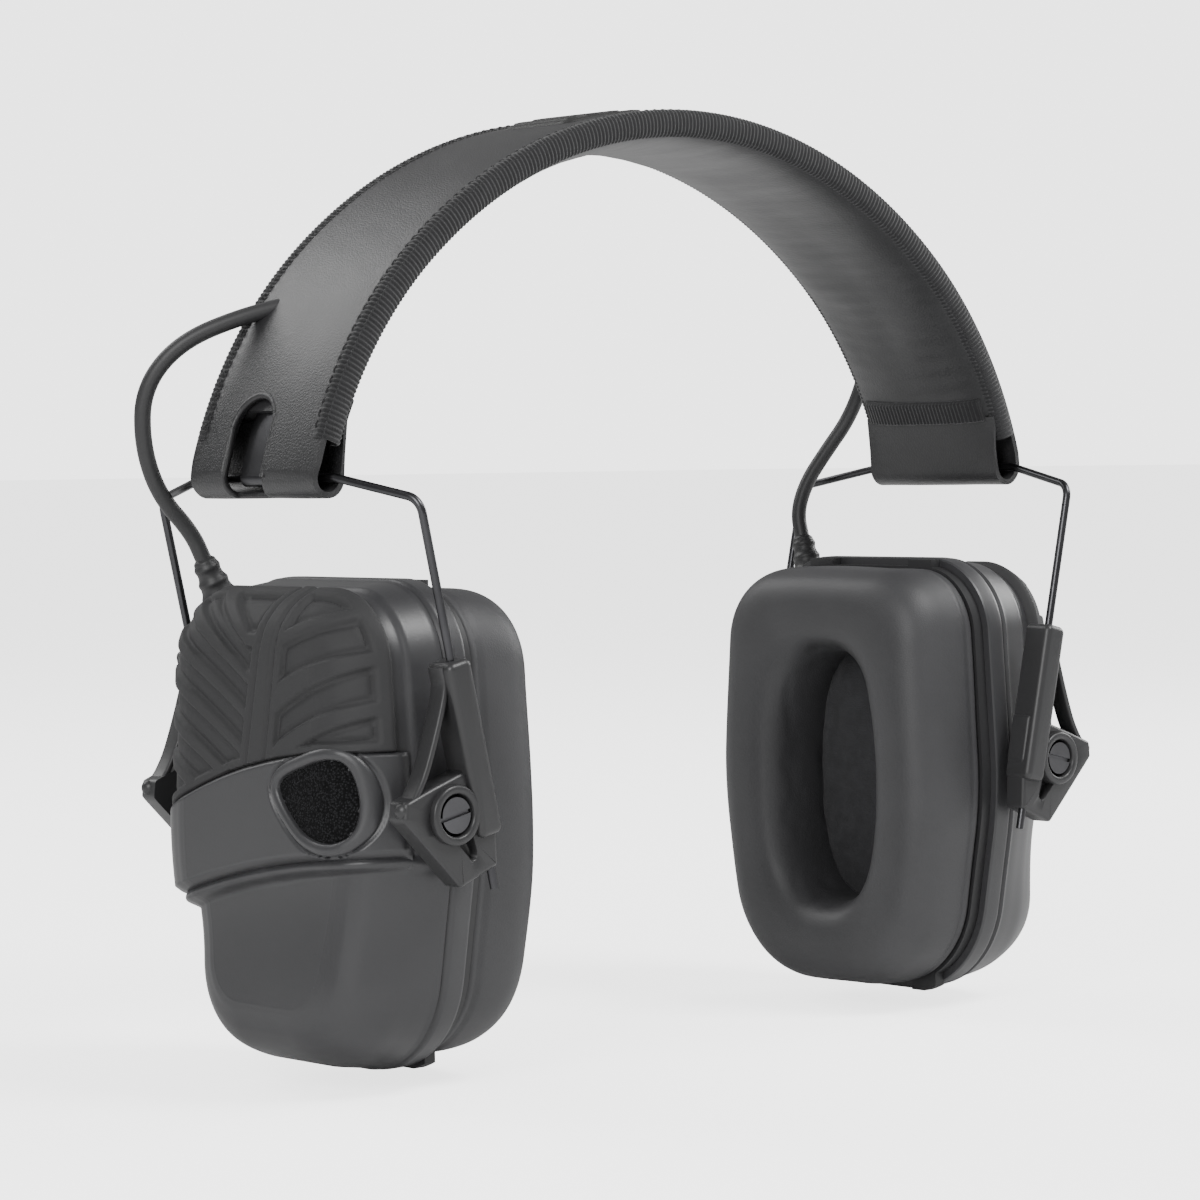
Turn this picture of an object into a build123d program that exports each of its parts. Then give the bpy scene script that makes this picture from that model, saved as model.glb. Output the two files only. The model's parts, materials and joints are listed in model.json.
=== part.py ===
from build123d import *
import os
from math import cos, radians, sin, tan

# Folding electronic earmuffs for hearing protection.  Millimetres, +Z up, X from ear to ear
# (left cup at -X), -Y is the front.  The origin is where the head touches the headband: the
# underside of the inner pad at the crown.  The right side is modelled and mirrored to the left.

# --- headband -------------------------------------------------------------------------------
CROWN_RADIUS = 124.0        # outer surface of the leather over the crown
CROWN_HALF_ANGLE = 42.0     # the crown arc reaches this far from the vertical on each side
SIDE_RADIUS = 103.3         # outer surface from there down to the hinge loops
HINGE_ANGLE = 75.3          # where the hinge axis lies on the side arc
BAND_HALF_WIDTH = 22.3
BAND_THICKNESS = 8.0        # leather, spring and padding together in the middle
EDGE_THICKNESS = 5.0        # leather and padding under the bindings
COVER_WALL = 1.5
PAD_END_ANGLE = 67.0        # the padding stops here, above the loops
LOOP_RADIUS = 4.5           # outer radius of the leather loop round the hinge wire
LOOP_HALF_LENGTH = 21.5
FLAP_OVERLAP = 0.3          # degrees by which the loop's flap covers the pad's end
TAPE_START_ANGLE = 64.0     # ribbed tape that closes the pad's end
TAPE_THICKNESS = 0.7
BINDING_THICKNESS = 0.7
BINDING_FLAP = 3.2          # how far the edge binding covers each face
BINDING_MARGIN = 1.0        # plain leather between the binding and the padding's swell
BINDING_END_ANGLE = 71.0
WINDOW_WIDTH = 14.0         # oval window in the outer leather above each loop
WINDOW_TOP_ANGLE = 65.5
WINDOW_OFFSET = 3.0         # towards the rear
CROWN_STRIP_HALF_ANGLE = 14.0
CROWN_STRIP_HALF_WIDTH = 12.0
CROWN_STRIP_HEIGHT = 0.8
CROWN_RIB_COUNT = 9
CROWN_RIB_HEIGHT = 0.5
CROWN_RIB_MARGIN = 2.0      # plain border beside the ribs

SPRING_WIDTH = 14.0         # flat steel spring inside the band, curled round each hinge wire
SPRING_THICKNESS = 0.9
SPRING_CLEARANCE = 0.3      # pocket in the padding around the spring

# --- hinge wires ----------------------------------------------------------------------------
WIRE_RADIUS = 0.95
WIRE_RUNNING_CLEARANCE = 0.05
YOKE_LEG_IN_CLIP = 4.2      # from the clip's inner face to the middle of the leg
YOKE_EXIT = 23.5            # the straight hinge length ends here
YOKE_DROP = 4.7             # from the hinge axis down to the outer bends
YOKE_SET_IN = 5.0           # and inwards to them
YOKE_BEND_RADIUS = 4.0
YOKE_EXIT_RADIUS = 3.0
LEG_LEAN = 12.95            # degrees from the vertical
LEG_TO_PIVOT = 67.0         # along the leg, from the bend to the level of the cup's pivot
LEG_TIP = 19.0              # further down to the tip

# --- clips and pivots -----------------------------------------------------------------------
PIVOT_OFFSET = 8.3          # from the leg outwards to the pivot screw
CLIP_TOP = 31.7             # above the pivot, along the leg
CLIP_POINT = 17.0           # below the pivot, along the leg
CLIP_BARREL_WIDTH = 6.6
CLIP_STAND_OFF = 2.3        # from the cup's widest half to the clip's inner face
CLIP_THICKNESS = 7.6
CLIP_WING = 12.5            # outer corner, from the pivot
CLIP_HEEL = 0.7             # share of the point's length where the foot's underside starts
CLIP_SOLE = 0.55            # and where it turns up under the screw
CLIP_FOOT_RISE = 5.5        # the foot's top edge, above the pivot
CLIP_FOOT_CORNER = 1.2
CLIP_BOSS_WALL = 2.2        # round the screw's recess
RIB_WIDTH = 1.8
RIB_FOOT = 4.0              # the rib meets the foot at this level
RIB_TOP_DROP = 2.0
SLIDE_CLEARANCE = 0.08
SCREW_HEAD_RADIUS = 3.9
SCREW_HEAD_HEIGHT = 1.6
SCREW_RECESS_RADIUS = 5.2
SCREW_RECESS_DEPTH = 2.6
SCREW_SLOT_WIDTH = 0.9
SCREW_SLOT_DEPTH = 0.7
SCREW_RADIUS = 1.75
SCREW_LENGTH = 13.0
SCREW_HOLE_SPARE = 0.5      # the hole in the boss is this much deeper than the screw
SCREW_CLEARANCE = 0.05

# --- cups -----------------------------------------------------------------------------------
CUP_HEIGHT = 108.0
CUP_TOP_HALF = 35.5         # half widths of the outline at its top, widest level and bottom
CUP_WIDEST_HALF = 39.5
CUP_BOTTOM_HALF = 31.0
CUP_WIDEST_LEVEL = -4.0     # from the middle of the cup's height
CUP_TOP_CORNER = 19.0
CUP_WIDEST_CORNER = 90.0
CUP_BOTTOM_CORNER = 26.0
CUP_BELOW_PIVOT = 4.9       # middle of the cup, below the pivot
CUP_WALL = 2.2
PIVOT_BOSS_RADIUS = 5.5
PIVOT_BOSS_ROOT = 6.0       # how far the boss reaches in from the cup's widest half
FLANGE_TO_PIVOT = 13.0      # the shell's rim lies this far inwards of the pivot
# the shell's dome: how far out from the rim, and how far its outline has drawn in
DOME = ((0.0, 0.0), (5.0, 0.0), (18.0, 2.0), (24.5, 5.0), (28.0, 9.5), (29.5, 16.0))

RING_THICKNESS = 3.0        # plate that carries the cushion
RING_INSET = 1.6            # leaves the dark groove round the cup
RING_OPENING = 17.0         # inset of the plate's opening
TAB_WIDTH = 8.0
TAB_PITCH = 17.0            # rim tabs, either side of the middle
TAB_PROUD = 1.2
CUSHION_THICKNESS = 21.0
CUSHION_INSET = 1.9
CUSHION_EDGE = 8.0          # rounding of the cushion's outer edge
EAR_HOLE_HALF_WIDTH = 16.0
EAR_HOLE_HALF_HEIGHT = 31.0
EAR_HOLE_LIP = 6.0
LINER_THICKNESS = 9.0
LINER_INSET = 4.0
SPEAKER_RADIUS = 20.0
SPEAKER_DEPTH = 6.0
MAGNET_RADIUS = 12.0
MAGNET_DEPTH = 3.0
SPEAKER_DROP = 5.0          # below the middle of the cup

TREAD_THICKNESS = 1.5
MIC_BAND_THICKNESS = 2.3
SKIN_START = 12.0           # tread and microphone band begin this far out from the rim
SEAM_GAP = 0.3
EDGE_REACH = CUP_WIDEST_HALF + 8.5      # the front-to-rear edges run past the cup on both sides
# front-to-rear edges on the dome, as (y, height from the cup's middle) from rear to front
TREAD_EDGE = ((EDGE_REACH, -5.5), (2.0, 15.5), (-EDGE_REACH, 17.5))
MIC_BAND_EDGE = ((EDGE_REACH, -26.0), (0.0, -11.5), (-EDGE_REACH, -7.0))
# microphone opening, as (distance from the cup's front, height from its middle)
MIC_OUTLINE = ((28.5, 10.0), (10.0, 16.0), (7.5, 2.5), (13.5, -0.8), (26.5, 4.7))
MIC_CORNER = 2.6
MIC_RING_WIDTH = 3.4
MIC_RING_PROUD = 0.6
MIC_FOAM_SUNK = 1.2
MIC_CENTRE = (18.0, 6.5)
MIC_CAPSULE_RADIUS = 4.85
MIC_CAPSULE_DEPTH = 5.0
MIC_CAPSULE_X = 17.0        # back of the capsule, out from the rim
MIC_CLEARANCE = 0.3

# --- cord between the cups ------------------------------------------------------------------
CABLE_RADIUS = 1.9
CABLE_CHANNEL = 0.4         # clearance round the cord inside the band
CABLE_DEPTH = 4.9           # of the cord's centre inside the band
CABLE_Y = 10.2
CABLE_EXIT_ANGLE = 45.0     # where the hidden stretch ends on the side arc
CABLE_STRAIGHT = 7.0        # straight on from there, and straight into the strain relief
# points on the cord's way from the band to its cup, as (distance from the middle, y, z)
CABLE_POINTS = {
    "left": ((100.5, 18.0, -39.0), (112.5, 27.0, -45.0), (118.3, 33.0, -55.0), (116.8, 36.0, -67.5),
             (112.0, 36.8, -79.0)),
    "right": ((101.0, 18.5, -40.0), (109.0, 26.5, -50.0), (107.8, 31.5, -62.0), (103.0, 35.8, -71.0),
              (98.5, 38.8, -79.0)),
}
RELIEF_OUT = 10.7           # foot of the strain relief: out from the rim,
RELIEF_BESIDE = 2.0         # in from the cup's top half width,
RELIEF_BELOW = 8.7          # and down from the cup's highest point
RELIEF_RISE = {"left": (5.5, 1.7, 12.8), "right": (0.3, 4.0, 13.4)}   # from its foot to its tip
RELIEF_BASE_RADIUS = 4.4
RELIEF_TOP_RADIUS = 2.9
RELIEF_CLEARANCE = 0.05     # round the anchored length
RELIEF_ROOT = 6.0           # length anchored in the shell's wall
RELIEF_ROOT_STEP = 1.2      # the anchored length is this much slimmer than the foot
RELIEF_ROOT_LAP = 1.5

# --- controls and electronics ---------------------------------------------------------------
KNOB_RADIUS = 5.5
KNOB_HEIGHT = 4.6
KNOB_BOSS_RADIUS = 7.0
KNOB_X = 6.0                # inwards of the pivot
KNOB_DROP = 31.0            # below the pivot
KNOB_SET_BACK = 2.3         # the knob's boss ends this far inside the cup's widest half
KNOB_BOSS_LENGTH = 9.0
KNOB_CLEARANCE = 0.3
KNOB_SHAFT_RADIUS = 3.0
KNOB_SHAFT_CLEARANCE = 0.05
KNOB_NOTCHES = 16
KNOB_NOTCH_RADIUS = 0.5
KNOB_NOTCH_START = 0.8      # plain collar at the knob's foot
CONTROL_LENGTH = 9.0        # from the knob to the control's body
CONTROL_HEIGHT = 6.0
CONTROL_WIDTH = 10.0
BOARD_SIZE = (1.6, 52.0, 62.0)
BOARD_X = 15.0              # out from the rim
BOARD_RISE = 4.0            # above the middle of the cup
JACK_BORE = 1.8
JACK_LENGTH = 14.0
JACK_WIDTH = 7.0
JACK_SUNK = 2.0             # the mouth lies this far inside the cup's lowest point
JACK_END_WALL = 2.0
JACK_X = 14.0               # out from the rim
JACK_HOLE_CLEARANCE = 0.2
CELL_RADIUS = 5.25
CELL_LENGTH = 44.5
CELL_PITCH = 11.1
CELL_RISE = 10.2            # lower cell's axis, above the door's lower edge
CELL_X = 18.2               # out from the rim
TRAY_WALL = 1.0
TRAY_CLEARANCE = 0.25
TRAY_LIP = 0.8              # the tray's walls end this far out from the cells' axes
CONTACT_THICKNESS = 0.4
CONTACT_REACH = (4.0, 1.5)  # inwards and outwards of the cells' axes
DOOR_MARGIN = 1.6           # door beyond the tray on each side
DOOR_TOP = -9.0             # above the microphone band's edge, which trims it
DOOR_RISE = 8.5             # lower edge, above the cup's lowest point
DOOR_CORNER = 9.0
BARREL_RADIUS = 1.1         # hinge barrel along the door's lower edge
BARREL_HALF_LENGTH = 12.0

# --- places that follow from the sizes above --------------------------------------------------
CROWN_CENTRE = (0.0, BAND_THICKNESS - CROWN_RADIUS)
JOIN = radians(CROWN_HALF_ANGLE)
SIDE_CENTRE = ((CROWN_RADIUS - SIDE_RADIUS) * sin(JOIN),
               CROWN_CENTRE[1] + (CROWN_RADIUS - SIDE_RADIUS) * cos(JOIN))


def side_point(angle, depth):
    """(x, z) on the right side arc, at an angle from the vertical and a depth below the leather."""
    reach = SIDE_RADIUS - depth
    return (SIDE_CENTRE[0] + reach * sin(radians(angle)), SIDE_CENTRE[1] + reach * cos(radians(angle)))


CLIP_INNER_Y = CUP_WIDEST_HALF + CLIP_STAND_OFF
YOKE_HALF_SPAN = CLIP_INNER_Y + YOKE_LEG_IN_CLIP
KNOB_BASE_Y = CUP_WIDEST_HALF - KNOB_SET_BACK
DOOR_BOTTOM = DOOR_RISE - CUP_HEIGHT / 2
CELL_LEVELS = (DOOR_BOTTOM + CELL_RISE + CELL_PITCH, DOOR_BOTTOM + CELL_RISE)
TRAY_HALF_LENGTH = CELL_LENGTH / 2 + CONTACT_THICKNESS + TRAY_CLEARANCE
DOOR_HALF_WIDTH = TRAY_HALF_LENGTH + TRAY_WALL + DOOR_MARGIN
HINGE_X, HINGE_Z = side_point(HINGE_ANGLE, LOOP_RADIUS)
BEND_X = HINGE_X - YOKE_SET_IN
BEND_Z = HINGE_Z - YOKE_DROP
LEG_DOWN = Vector(-sin(radians(LEG_LEAN)), 0, -cos(radians(LEG_LEAN)))
LEG_OUT = Vector(cos(radians(LEG_LEAN)), 0, -sin(radians(LEG_LEAN)))
PIVOT = Vector(BEND_X, 0, BEND_Z) + LEG_DOWN * LEG_TO_PIVOT + LEG_OUT * PIVOT_OFFSET
RIM_X = PIVOT.X - FLANGE_TO_PIVOT
CUP_Z = PIVOT.Z - CUP_BELOW_PIVOT
BOUND_HALF_WIDTH = BAND_HALF_WIDTH - BINDING_FLAP - BINDING_MARGIN
SPRING_DEPTH = LOOP_RADIUS - WIRE_RADIUS - WIRE_RUNNING_CLEARANCE - SPRING_THICKNESS
DOME_HEIGHT = DOME[-1][0]


def mirrored(shape):
    """The left side's copy of a right-side shape."""
    return mirror(shape, about=Plane.YZ)


def block(low, high):
    """A box between two corners."""
    size = [b - a for a, b in zip(low, high)]
    centre = [(a + b) / 2 for a, b in zip(low, high)]
    return Pos(*centre) * Box(*size)


def rod(start, end, radius, end_radius=None):
    """A round bar, or a cone, between two points."""
    start, end = Vector(*start), Vector(*end)
    along = end - start
    plane = Plane(origin=start, z_dir=along)
    if end_radius is None:
        return extrude(plane * Circle(radius), along.length)
    far_plane = Plane(origin=end, x_dir=plane.x_dir, z_dir=along)
    return loft([plane * Circle(radius), far_plane * Circle(end_radius)])


# --- headband pieces --------------------------------------------------------------------------
def band_plane():
    """Section plane where the crown and side arcs meet: x across the band, y outwards."""
    x, z = side_point(CROWN_HALF_ANGLE, 0)
    return Plane(origin=(x, 0, z), x_dir=(0, 1, 0), z_dir=(cos(JOIN), 0, -sin(JOIN)))


def along_band(section, end_angle, start_angle=None):
    """A band-shaped solid: the section is turned over the crown and down both sides, or only
    along the right side when it has a start angle."""
    face = band_plane() * section
    side_axis = Axis((SIDE_CENTRE[0], 0, SIDE_CENTRE[1]), (0, 1, 0))
    if start_angle is not None:
        face = face.rotate(side_axis, start_angle - CROWN_HALF_ANGLE)
        return revolve(face, side_axis, end_angle - start_angle)
    crown_axis = Axis((CROWN_CENTRE[0], 0, CROWN_CENTRE[1]), (0, 1, 0))
    crown = revolve(face, crown_axis, -2 * CROWN_HALF_ANGLE)
    side = revolve(face, side_axis, end_angle - CROWN_HALF_ANGLE)
    return crown + side + mirrored(side)


def strip_section(half_width, top, bottom, y=0.0):
    """A flat section between two depths below the leather's outer surface."""
    return Pos(y, -(top + bottom) / 2) * Rectangle(2 * half_width, bottom - top)


def crown_only(section, half_angle):
    face = band_plane() * section
    axis = Axis((CROWN_CENTRE[0], 0, CROWN_CENTRE[1]), (0, 1, 0))
    face = face.rotate(axis, half_angle - CROWN_HALF_ANGLE)
    return revolve(face, axis, -2 * half_angle)


def relief_ends(side):
    """Foot and tip of the strain relief's axis."""
    foot = Vector(RIM_X + RELIEF_OUT, CUP_TOP_HALF - RELIEF_BESIDE, CUP_Z + CUP_HEIGHT / 2 - RELIEF_BELOW)
    return foot, foot + Vector(*RELIEF_RISE[side])


def cable_path(side):
    """The cord from the hidden stretch's end, out through the leather, to the strain relief.
    Both sides' paths are given at +X."""
    x, z = side_point(CABLE_EXIT_ANGLE, CABLE_DEPTH)
    start = Vector(x, CABLE_Y, z)
    along = Vector(cos(radians(CABLE_EXIT_ANGLE)), 0, -sin(radians(CABLE_EXIT_ANGLE)))
    base, end = relief_ends(side)
    points = [start, start + along * CABLE_STRAIGHT, *[Vector(*point) for point in CABLE_POINTS[side]],
              end + (end - base).normalized() * CABLE_STRAIGHT, end]
    runs = [b - a for a, b in zip(points, points[1:])]
    turns = [tan(radians(a.get_angle(b) / 2)) for a, b in zip(runs, runs[1:])]
    radii = [0.45 * min(a.length, b.length) / turn for a, b, turn in zip(runs, runs[1:], turns)]
    print(side, "cord radii", [round(r, 1) for r in radii])
    return FilletPolyline(*points, radius=radii)


def tube(path, radius):
    plane = Plane(origin=path @ 0, z_dir=path % 0)
    return sweep(plane * Circle(radius), path)


def hidden_cord(radius):
    return along_band(Pos(CABLE_Y, -CABLE_DEPTH) * Circle(radius), CABLE_EXIT_ANGLE)


def cord_channel():
    """Everything the leather and padding leave free for the cord."""
    clear = CABLE_RADIUS + CABLE_CHANNEL
    return [hidden_cord(clear), mirrored(tube(cable_path("left"), clear)), tube(cable_path("right"), clear)]


def loop_plane():
    """Across the hinge axis: x outwards through the leather, y up along the band."""
    outward = (sin(radians(HINGE_ANGLE)), 0, cos(radians(HINGE_ANGLE)))
    return Plane(origin=(HINGE_X, 0, HINGE_Z), x_dir=outward, z_dir=(0, -1, 0))


def window_cut():
    """Oval opening through the outer leather, on down into the loop."""
    frame = loop_plane()
    x, z = side_point(WINDOW_TOP_ANGLE, 0)
    top = frame.to_local_coords(Vector(x, 0, z)).Y
    low = -LOOP_RADIUS - WINDOW_WIDTH / 4
    plane = Plane(origin=frame.origin + Vector(0, WINDOW_OFFSET, 0), x_dir=(0, 1, 0), z_dir=frame.x_dir)
    slot = Pos(0, (top + low) / 2) * SlotOverall(top - low, WINDOW_WIDTH, rotation=90)
    return extrude(plane * slot, 2 * LOOP_RADIUS)


def headband_cover(channel):
    """Outer leather: over the band, round each hinge wire and back up to the pad's end."""
    cover = along_band(strip_section(BAND_HALF_WIDTH, 0, COVER_WALL), HINGE_ANGLE)
    below = Pos(0, -LOOP_RADIUS) * Rectangle(3 * LOOP_RADIUS, 2 * LOOP_RADIUS)
    half_ring = (Circle(LOOP_RADIUS) - Circle(LOOP_RADIUS - COVER_WALL)) & below
    loop = extrude(loop_plane() * half_ring, LOOP_HALF_LENGTH, both=True)
    flap_depth = 2 * LOOP_RADIUS
    flap_low = [side_point(HINGE_ANGLE, flap_depth - COVER_WALL), side_point(HINGE_ANGLE, flap_depth)]
    flap_end = PAD_END_ANGLE + FLAP_OVERLAP
    flap_high = [side_point(flap_end, BAND_THICKNESS), side_point(flap_end, BAND_THICKNESS - COVER_WALL)]
    outline = make_face(Polyline(*flap_low, *flap_high, close=True))
    flap = extrude(Plane.XZ * outline, LOOP_HALF_LENGTH, both=True)
    for end in (loop, mirrored(loop), flap, mirrored(flap)):
        cover += end
    for cut in [window_cut(), mirrored(window_cut()), *channel]:
        cover -= cut
    return cover


def headband_pad(channel):
    half = [(BAND_HALF_WIDTH, -COVER_WALL), (BAND_HALF_WIDTH, -EDGE_THICKNESS),
            (BOUND_HALF_WIDTH, -EDGE_THICKNESS), (BAND_HALF_WIDTH / 2, -BAND_THICKNESS)]
    crowned = make_face(Polyline(*half, *[(-y, z) for y, z in reversed(half)], close=True))
    pocket = strip_section(SPRING_WIDTH / 2 + SPRING_CLEARANCE, SPRING_DEPTH - SPRING_CLEARANCE,
                           SPRING_DEPTH + SPRING_THICKNESS + SPRING_CLEARANCE)
    pad = along_band(crowned - pocket, PAD_END_ANGLE)
    for cut in channel:
        pad -= cut
    return pad


def binding(side):
    """Ribbed tape folded round one edge of the band; side is -1 for the front, 1 for the rear."""
    edge = BAND_HALF_WIDTH
    outer = edge + BINDING_THICKNESS
    inner = edge - BINDING_FLAP
    low = -EDGE_THICKNESS - BINDING_THICKNESS
    profile = [(inner, BINDING_THICKNESS), (outer, BINDING_THICKNESS), (outer, low), (inner, low),
               (inner, -EDGE_THICKNESS), (edge, -EDGE_THICKNESS), (edge, 0), (inner, 0)]
    section = make_face(Polyline(*[(side * y, z) for y, z in profile], close=True))
    return along_band(section, BINDING_END_ANGLE)


def end_tape():
    section = strip_section(BOUND_HALF_WIDTH, BAND_THICKNESS, BAND_THICKNESS + TAPE_THICKNESS)
    return along_band(section, PAD_END_ANGLE, TAPE_START_ANGLE)


def crown_strip():
    """Raised strip over the crown with plain cross ribs."""
    base = crown_only(strip_section(CROWN_STRIP_HALF_WIDTH, -CROWN_STRIP_HEIGHT, 0), CROWN_STRIP_HALF_ANGLE)
    axis = Axis((CROWN_CENTRE[0], 0, CROWN_CENTRE[1]), (0, 1, 0))
    pitch = 2 * CROWN_STRIP_HALF_ANGLE / CROWN_RIB_COUNT
    top = CROWN_STRIP_HEIGHT + CROWN_RIB_HEIGHT
    rib_half = CROWN_STRIP_HALF_WIDTH - CROWN_RIB_MARGIN
    rib = crown_only(strip_section(rib_half, -top, -CROWN_STRIP_HEIGHT), pitch / 4)
    for index in range(CROWN_RIB_COUNT):
        base += rib.rotate(axis, (index - (CROWN_RIB_COUNT - 1) / 2) * pitch)
    return base


def band_spring():
    section = strip_section(SPRING_WIDTH / 2, SPRING_DEPTH, SPRING_DEPTH + SPRING_THICKNESS)
    inner = WIRE_RADIUS + WIRE_RUNNING_CLEARANCE
    ring = Plane.XZ * (Pos(HINGE_X, HINGE_Z) * (Circle(inner + SPRING_THICKNESS) - Circle(inner)))
    knuckle = extrude(ring, SPRING_WIDTH / 2, both=True)
    return along_band(section, HINGE_ANGLE) + knuckle + mirrored(knuckle)


# --- yoke and clips ---------------------------------------------------------------------------
def yoke_wire():
    tip = Vector(BEND_X, 0, BEND_Z) + LEG_DOWN * (LEG_TO_PIVOT + LEG_TIP)
    half = [(tip.X, YOKE_HALF_SPAN, tip.Z), (BEND_X, YOKE_HALF_SPAN, BEND_Z), (HINGE_X, YOKE_EXIT, HINGE_Z)]
    points = half + [(x, -y, z) for x, y, z in reversed(half)]
    radii = [YOKE_BEND_RADIUS, YOKE_EXIT_RADIUS, YOKE_EXIT_RADIUS, YOKE_BEND_RADIUS]
    return tube(FilletPolyline(*points, radius=radii), WIRE_RADIUS)


def clip_plane():
    """Front clip's inner face: x outwards across the leg, y up the leg, z forwards."""
    return Plane(origin=(PIVOT.X, -CLIP_INNER_Y, PIVOT.Z), x_dir=LEG_OUT, z_dir=(0, -1, 0))


def clip():
    """Slides on the wire leg and carries the pivot screw; open triangle under the outer rib."""
    inner = -PIVOT_OFFSET - CLIP_BARREL_WIDTH / 2
    outer = inner + CLIP_BARREL_WIDTH
    heel = -CLIP_POINT * CLIP_HEEL
    barrel = make_face(Polyline((inner, heel), (inner, CLIP_TOP), (outer, CLIP_TOP), (outer, 0),
                                close=True))
    foot = make_face(Polyline((inner, RIB_FOOT), (inner, heel), (-PIVOT_OFFSET, -CLIP_POINT),
                              (SCREW_HEAD_RADIUS, -CLIP_POINT * CLIP_SOLE), (CLIP_WING, 1),
                              (CLIP_WING - RIB_WIDTH, CLIP_FOOT_RISE), (outer, CLIP_FOOT_RISE), close=True))
    foot = fillet(foot.vertices(), CLIP_FOOT_CORNER)
    boss = Circle(SCREW_RECESS_RADIUS + CLIP_BOSS_WALL)
    rib_top = CLIP_TOP - RIB_TOP_DROP
    rib = make_face(Polyline((outer - 1, rib_top), (outer + RIB_WIDTH - 1, rib_top), (CLIP_WING, RIB_FOOT),
                             (CLIP_WING - RIB_WIDTH, RIB_FOOT), close=True))
    plane = clip_plane()
    solid = extrude(plane * (barrel + foot + boss + rib), CLIP_THICKNESS)
    seat = CLIP_THICKNESS - SCREW_RECESS_DEPTH
    solid -= extrude(plane.offset(seat) * Circle(SCREW_RECESS_RADIUS), CLIP_THICKNESS)
    solid -= extrude(plane * Circle(SCREW_RADIUS + SCREW_CLEARANCE), CLIP_THICKNESS)
    leg = Plane(origin=(BEND_X, -YOKE_HALF_SPAN, BEND_Z), z_dir=LEG_DOWN)
    solid -= extrude(leg * Circle(WIRE_RADIUS + SLIDE_CLEARANCE), LEG_TO_PIVOT + LEG_TIP + CLIP_POINT)
    return solid


def pivot_screw():
    plane = clip_plane()
    seat = CLIP_THICKNESS - SCREW_RECESS_DEPTH
    head = extrude(plane.offset(seat) * Circle(SCREW_HEAD_RADIUS), SCREW_HEAD_HEIGHT)
    floor = plane.offset(seat + SCREW_HEAD_HEIGHT - SCREW_SLOT_DEPTH)
    head -= extrude(floor * Rectangle(3 * SCREW_HEAD_RADIUS, SCREW_SLOT_WIDTH), SCREW_HEAD_HEIGHT)
    return head + extrude(plane.offset(seat - SCREW_LENGTH) * Circle(SCREW_RADIUS), SCREW_LENGTH)


# --- cup pieces -------------------------------------------------------------------------------
def cup_plane(x):
    """Plane across the cup: local x is Y, local y is Z from the cup's middle."""
    return Plane(origin=(x, 0, CUP_Z), x_dir=(0, 1, 0), z_dir=(1, 0, 0))


def cup_outline(inset):
    """The cup's outline, drawn in by an inset."""
    high = CUP_HEIGHT / 2 - inset
    half = [(CUP_TOP_HALF - inset, high), (CUP_WIDEST_HALF - inset, CUP_WIDEST_LEVEL),
            (CUP_BOTTOM_HALF - inset, -high)]
    points = half + [(-y, z) for y, z in reversed(half)]
    corners = [CUP_TOP_CORNER - inset, CUP_WIDEST_CORNER - inset, CUP_BOTTOM_CORNER - inset]
    radii = [max(r, 1.0) for r in corners + corners[::-1]]
    return make_face(FilletPolyline(*points, radius=radii, close=True))


def slab(inset, low, high):
    """The cup's outline as a plate between two distances out from the rim."""
    return extrude(cup_plane(RIM_X + low) * cup_outline(inset), high - low)


def dome(offset=0.0, start=0.0):
    """The shell's outer form, grown or shrunk by an offset, from a distance out from the rim."""
    grown = [(out + offset * out / DOME_HEIGHT, inset - offset) for out, inset in DOME]
    faces = [cup_plane(RIM_X + out) * cup_outline(inset) for out, inset in grown]
    solid = loft(faces[:2], ruled=True)
    for low, high in zip(faces[1:], faces[2:]):
        solid += loft([low, high], ruled=True)
    if start:
        solid -= slab(-10, -1, start)
    return solid


def edge_face(edge, level):
    """The region of the dome between a curved front-to-rear edge and a level beyond it."""
    (y0, z0), (y1, z1), (y2, z2) = edge
    line = ThreePointArc((y0, z0), (y1, z1), (y2, z2)) + Polyline((y2, z2), (y2, level), (y0, level), (y0, z0))
    return make_face(line)


def over_dome(face):
    """A prism through the dome above a region of its outline plane."""
    return extrude(cup_plane(RIM_X) * face, DOME_HEIGHT + 10)


def mic_face(grow):
    corners = [(y - CUP_WIDEST_HALF, z) for y, z in MIC_OUTLINE]
    return offset(fillet(make_face(Polyline(*corners, close=True)).vertices(), MIC_CORNER), grow)


def door_face(gap):
    half = DOOR_HALF_WIDTH - gap
    low = DOOR_BOTTOM + gap
    outline = make_face(FilletPolyline((half, DOOR_TOP), (half, low), (-half, low), (-half, DOOR_TOP),
                                       radius=DOOR_CORNER - gap, close=True))
    return outline - offset(edge_face(MIC_BAND_EDGE, CUP_HEIGHT), gap)


def pivot_boss(face, grow):
    """Round boss on the cup's front (-1) or rear (1) side, up to the clip."""
    root = CUP_WIDEST_HALF - PIVOT_BOSS_ROOT
    end = CLIP_INNER_Y - SEAM_GAP
    return rod((PIVOT.X, face * root, PIVOT.Z), (PIVOT.X, face * end, PIVOT.Z), PIVOT_BOSS_RADIUS + grow)


def clear_of_fittings(skin, side):
    """Cuts a skin back from the pivot bosses and the strain relief, and keeps the main piece."""
    base, top = relief_ends(side)
    skin -= pivot_boss(-1, SEAM_GAP) + pivot_boss(1, SEAM_GAP)
    skin -= rod(base - (top - base), top, RELIEF_BASE_RADIUS + SEAM_GAP)
    return skin.solids().sort_by(SortBy.VOLUME)[-1]


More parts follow.
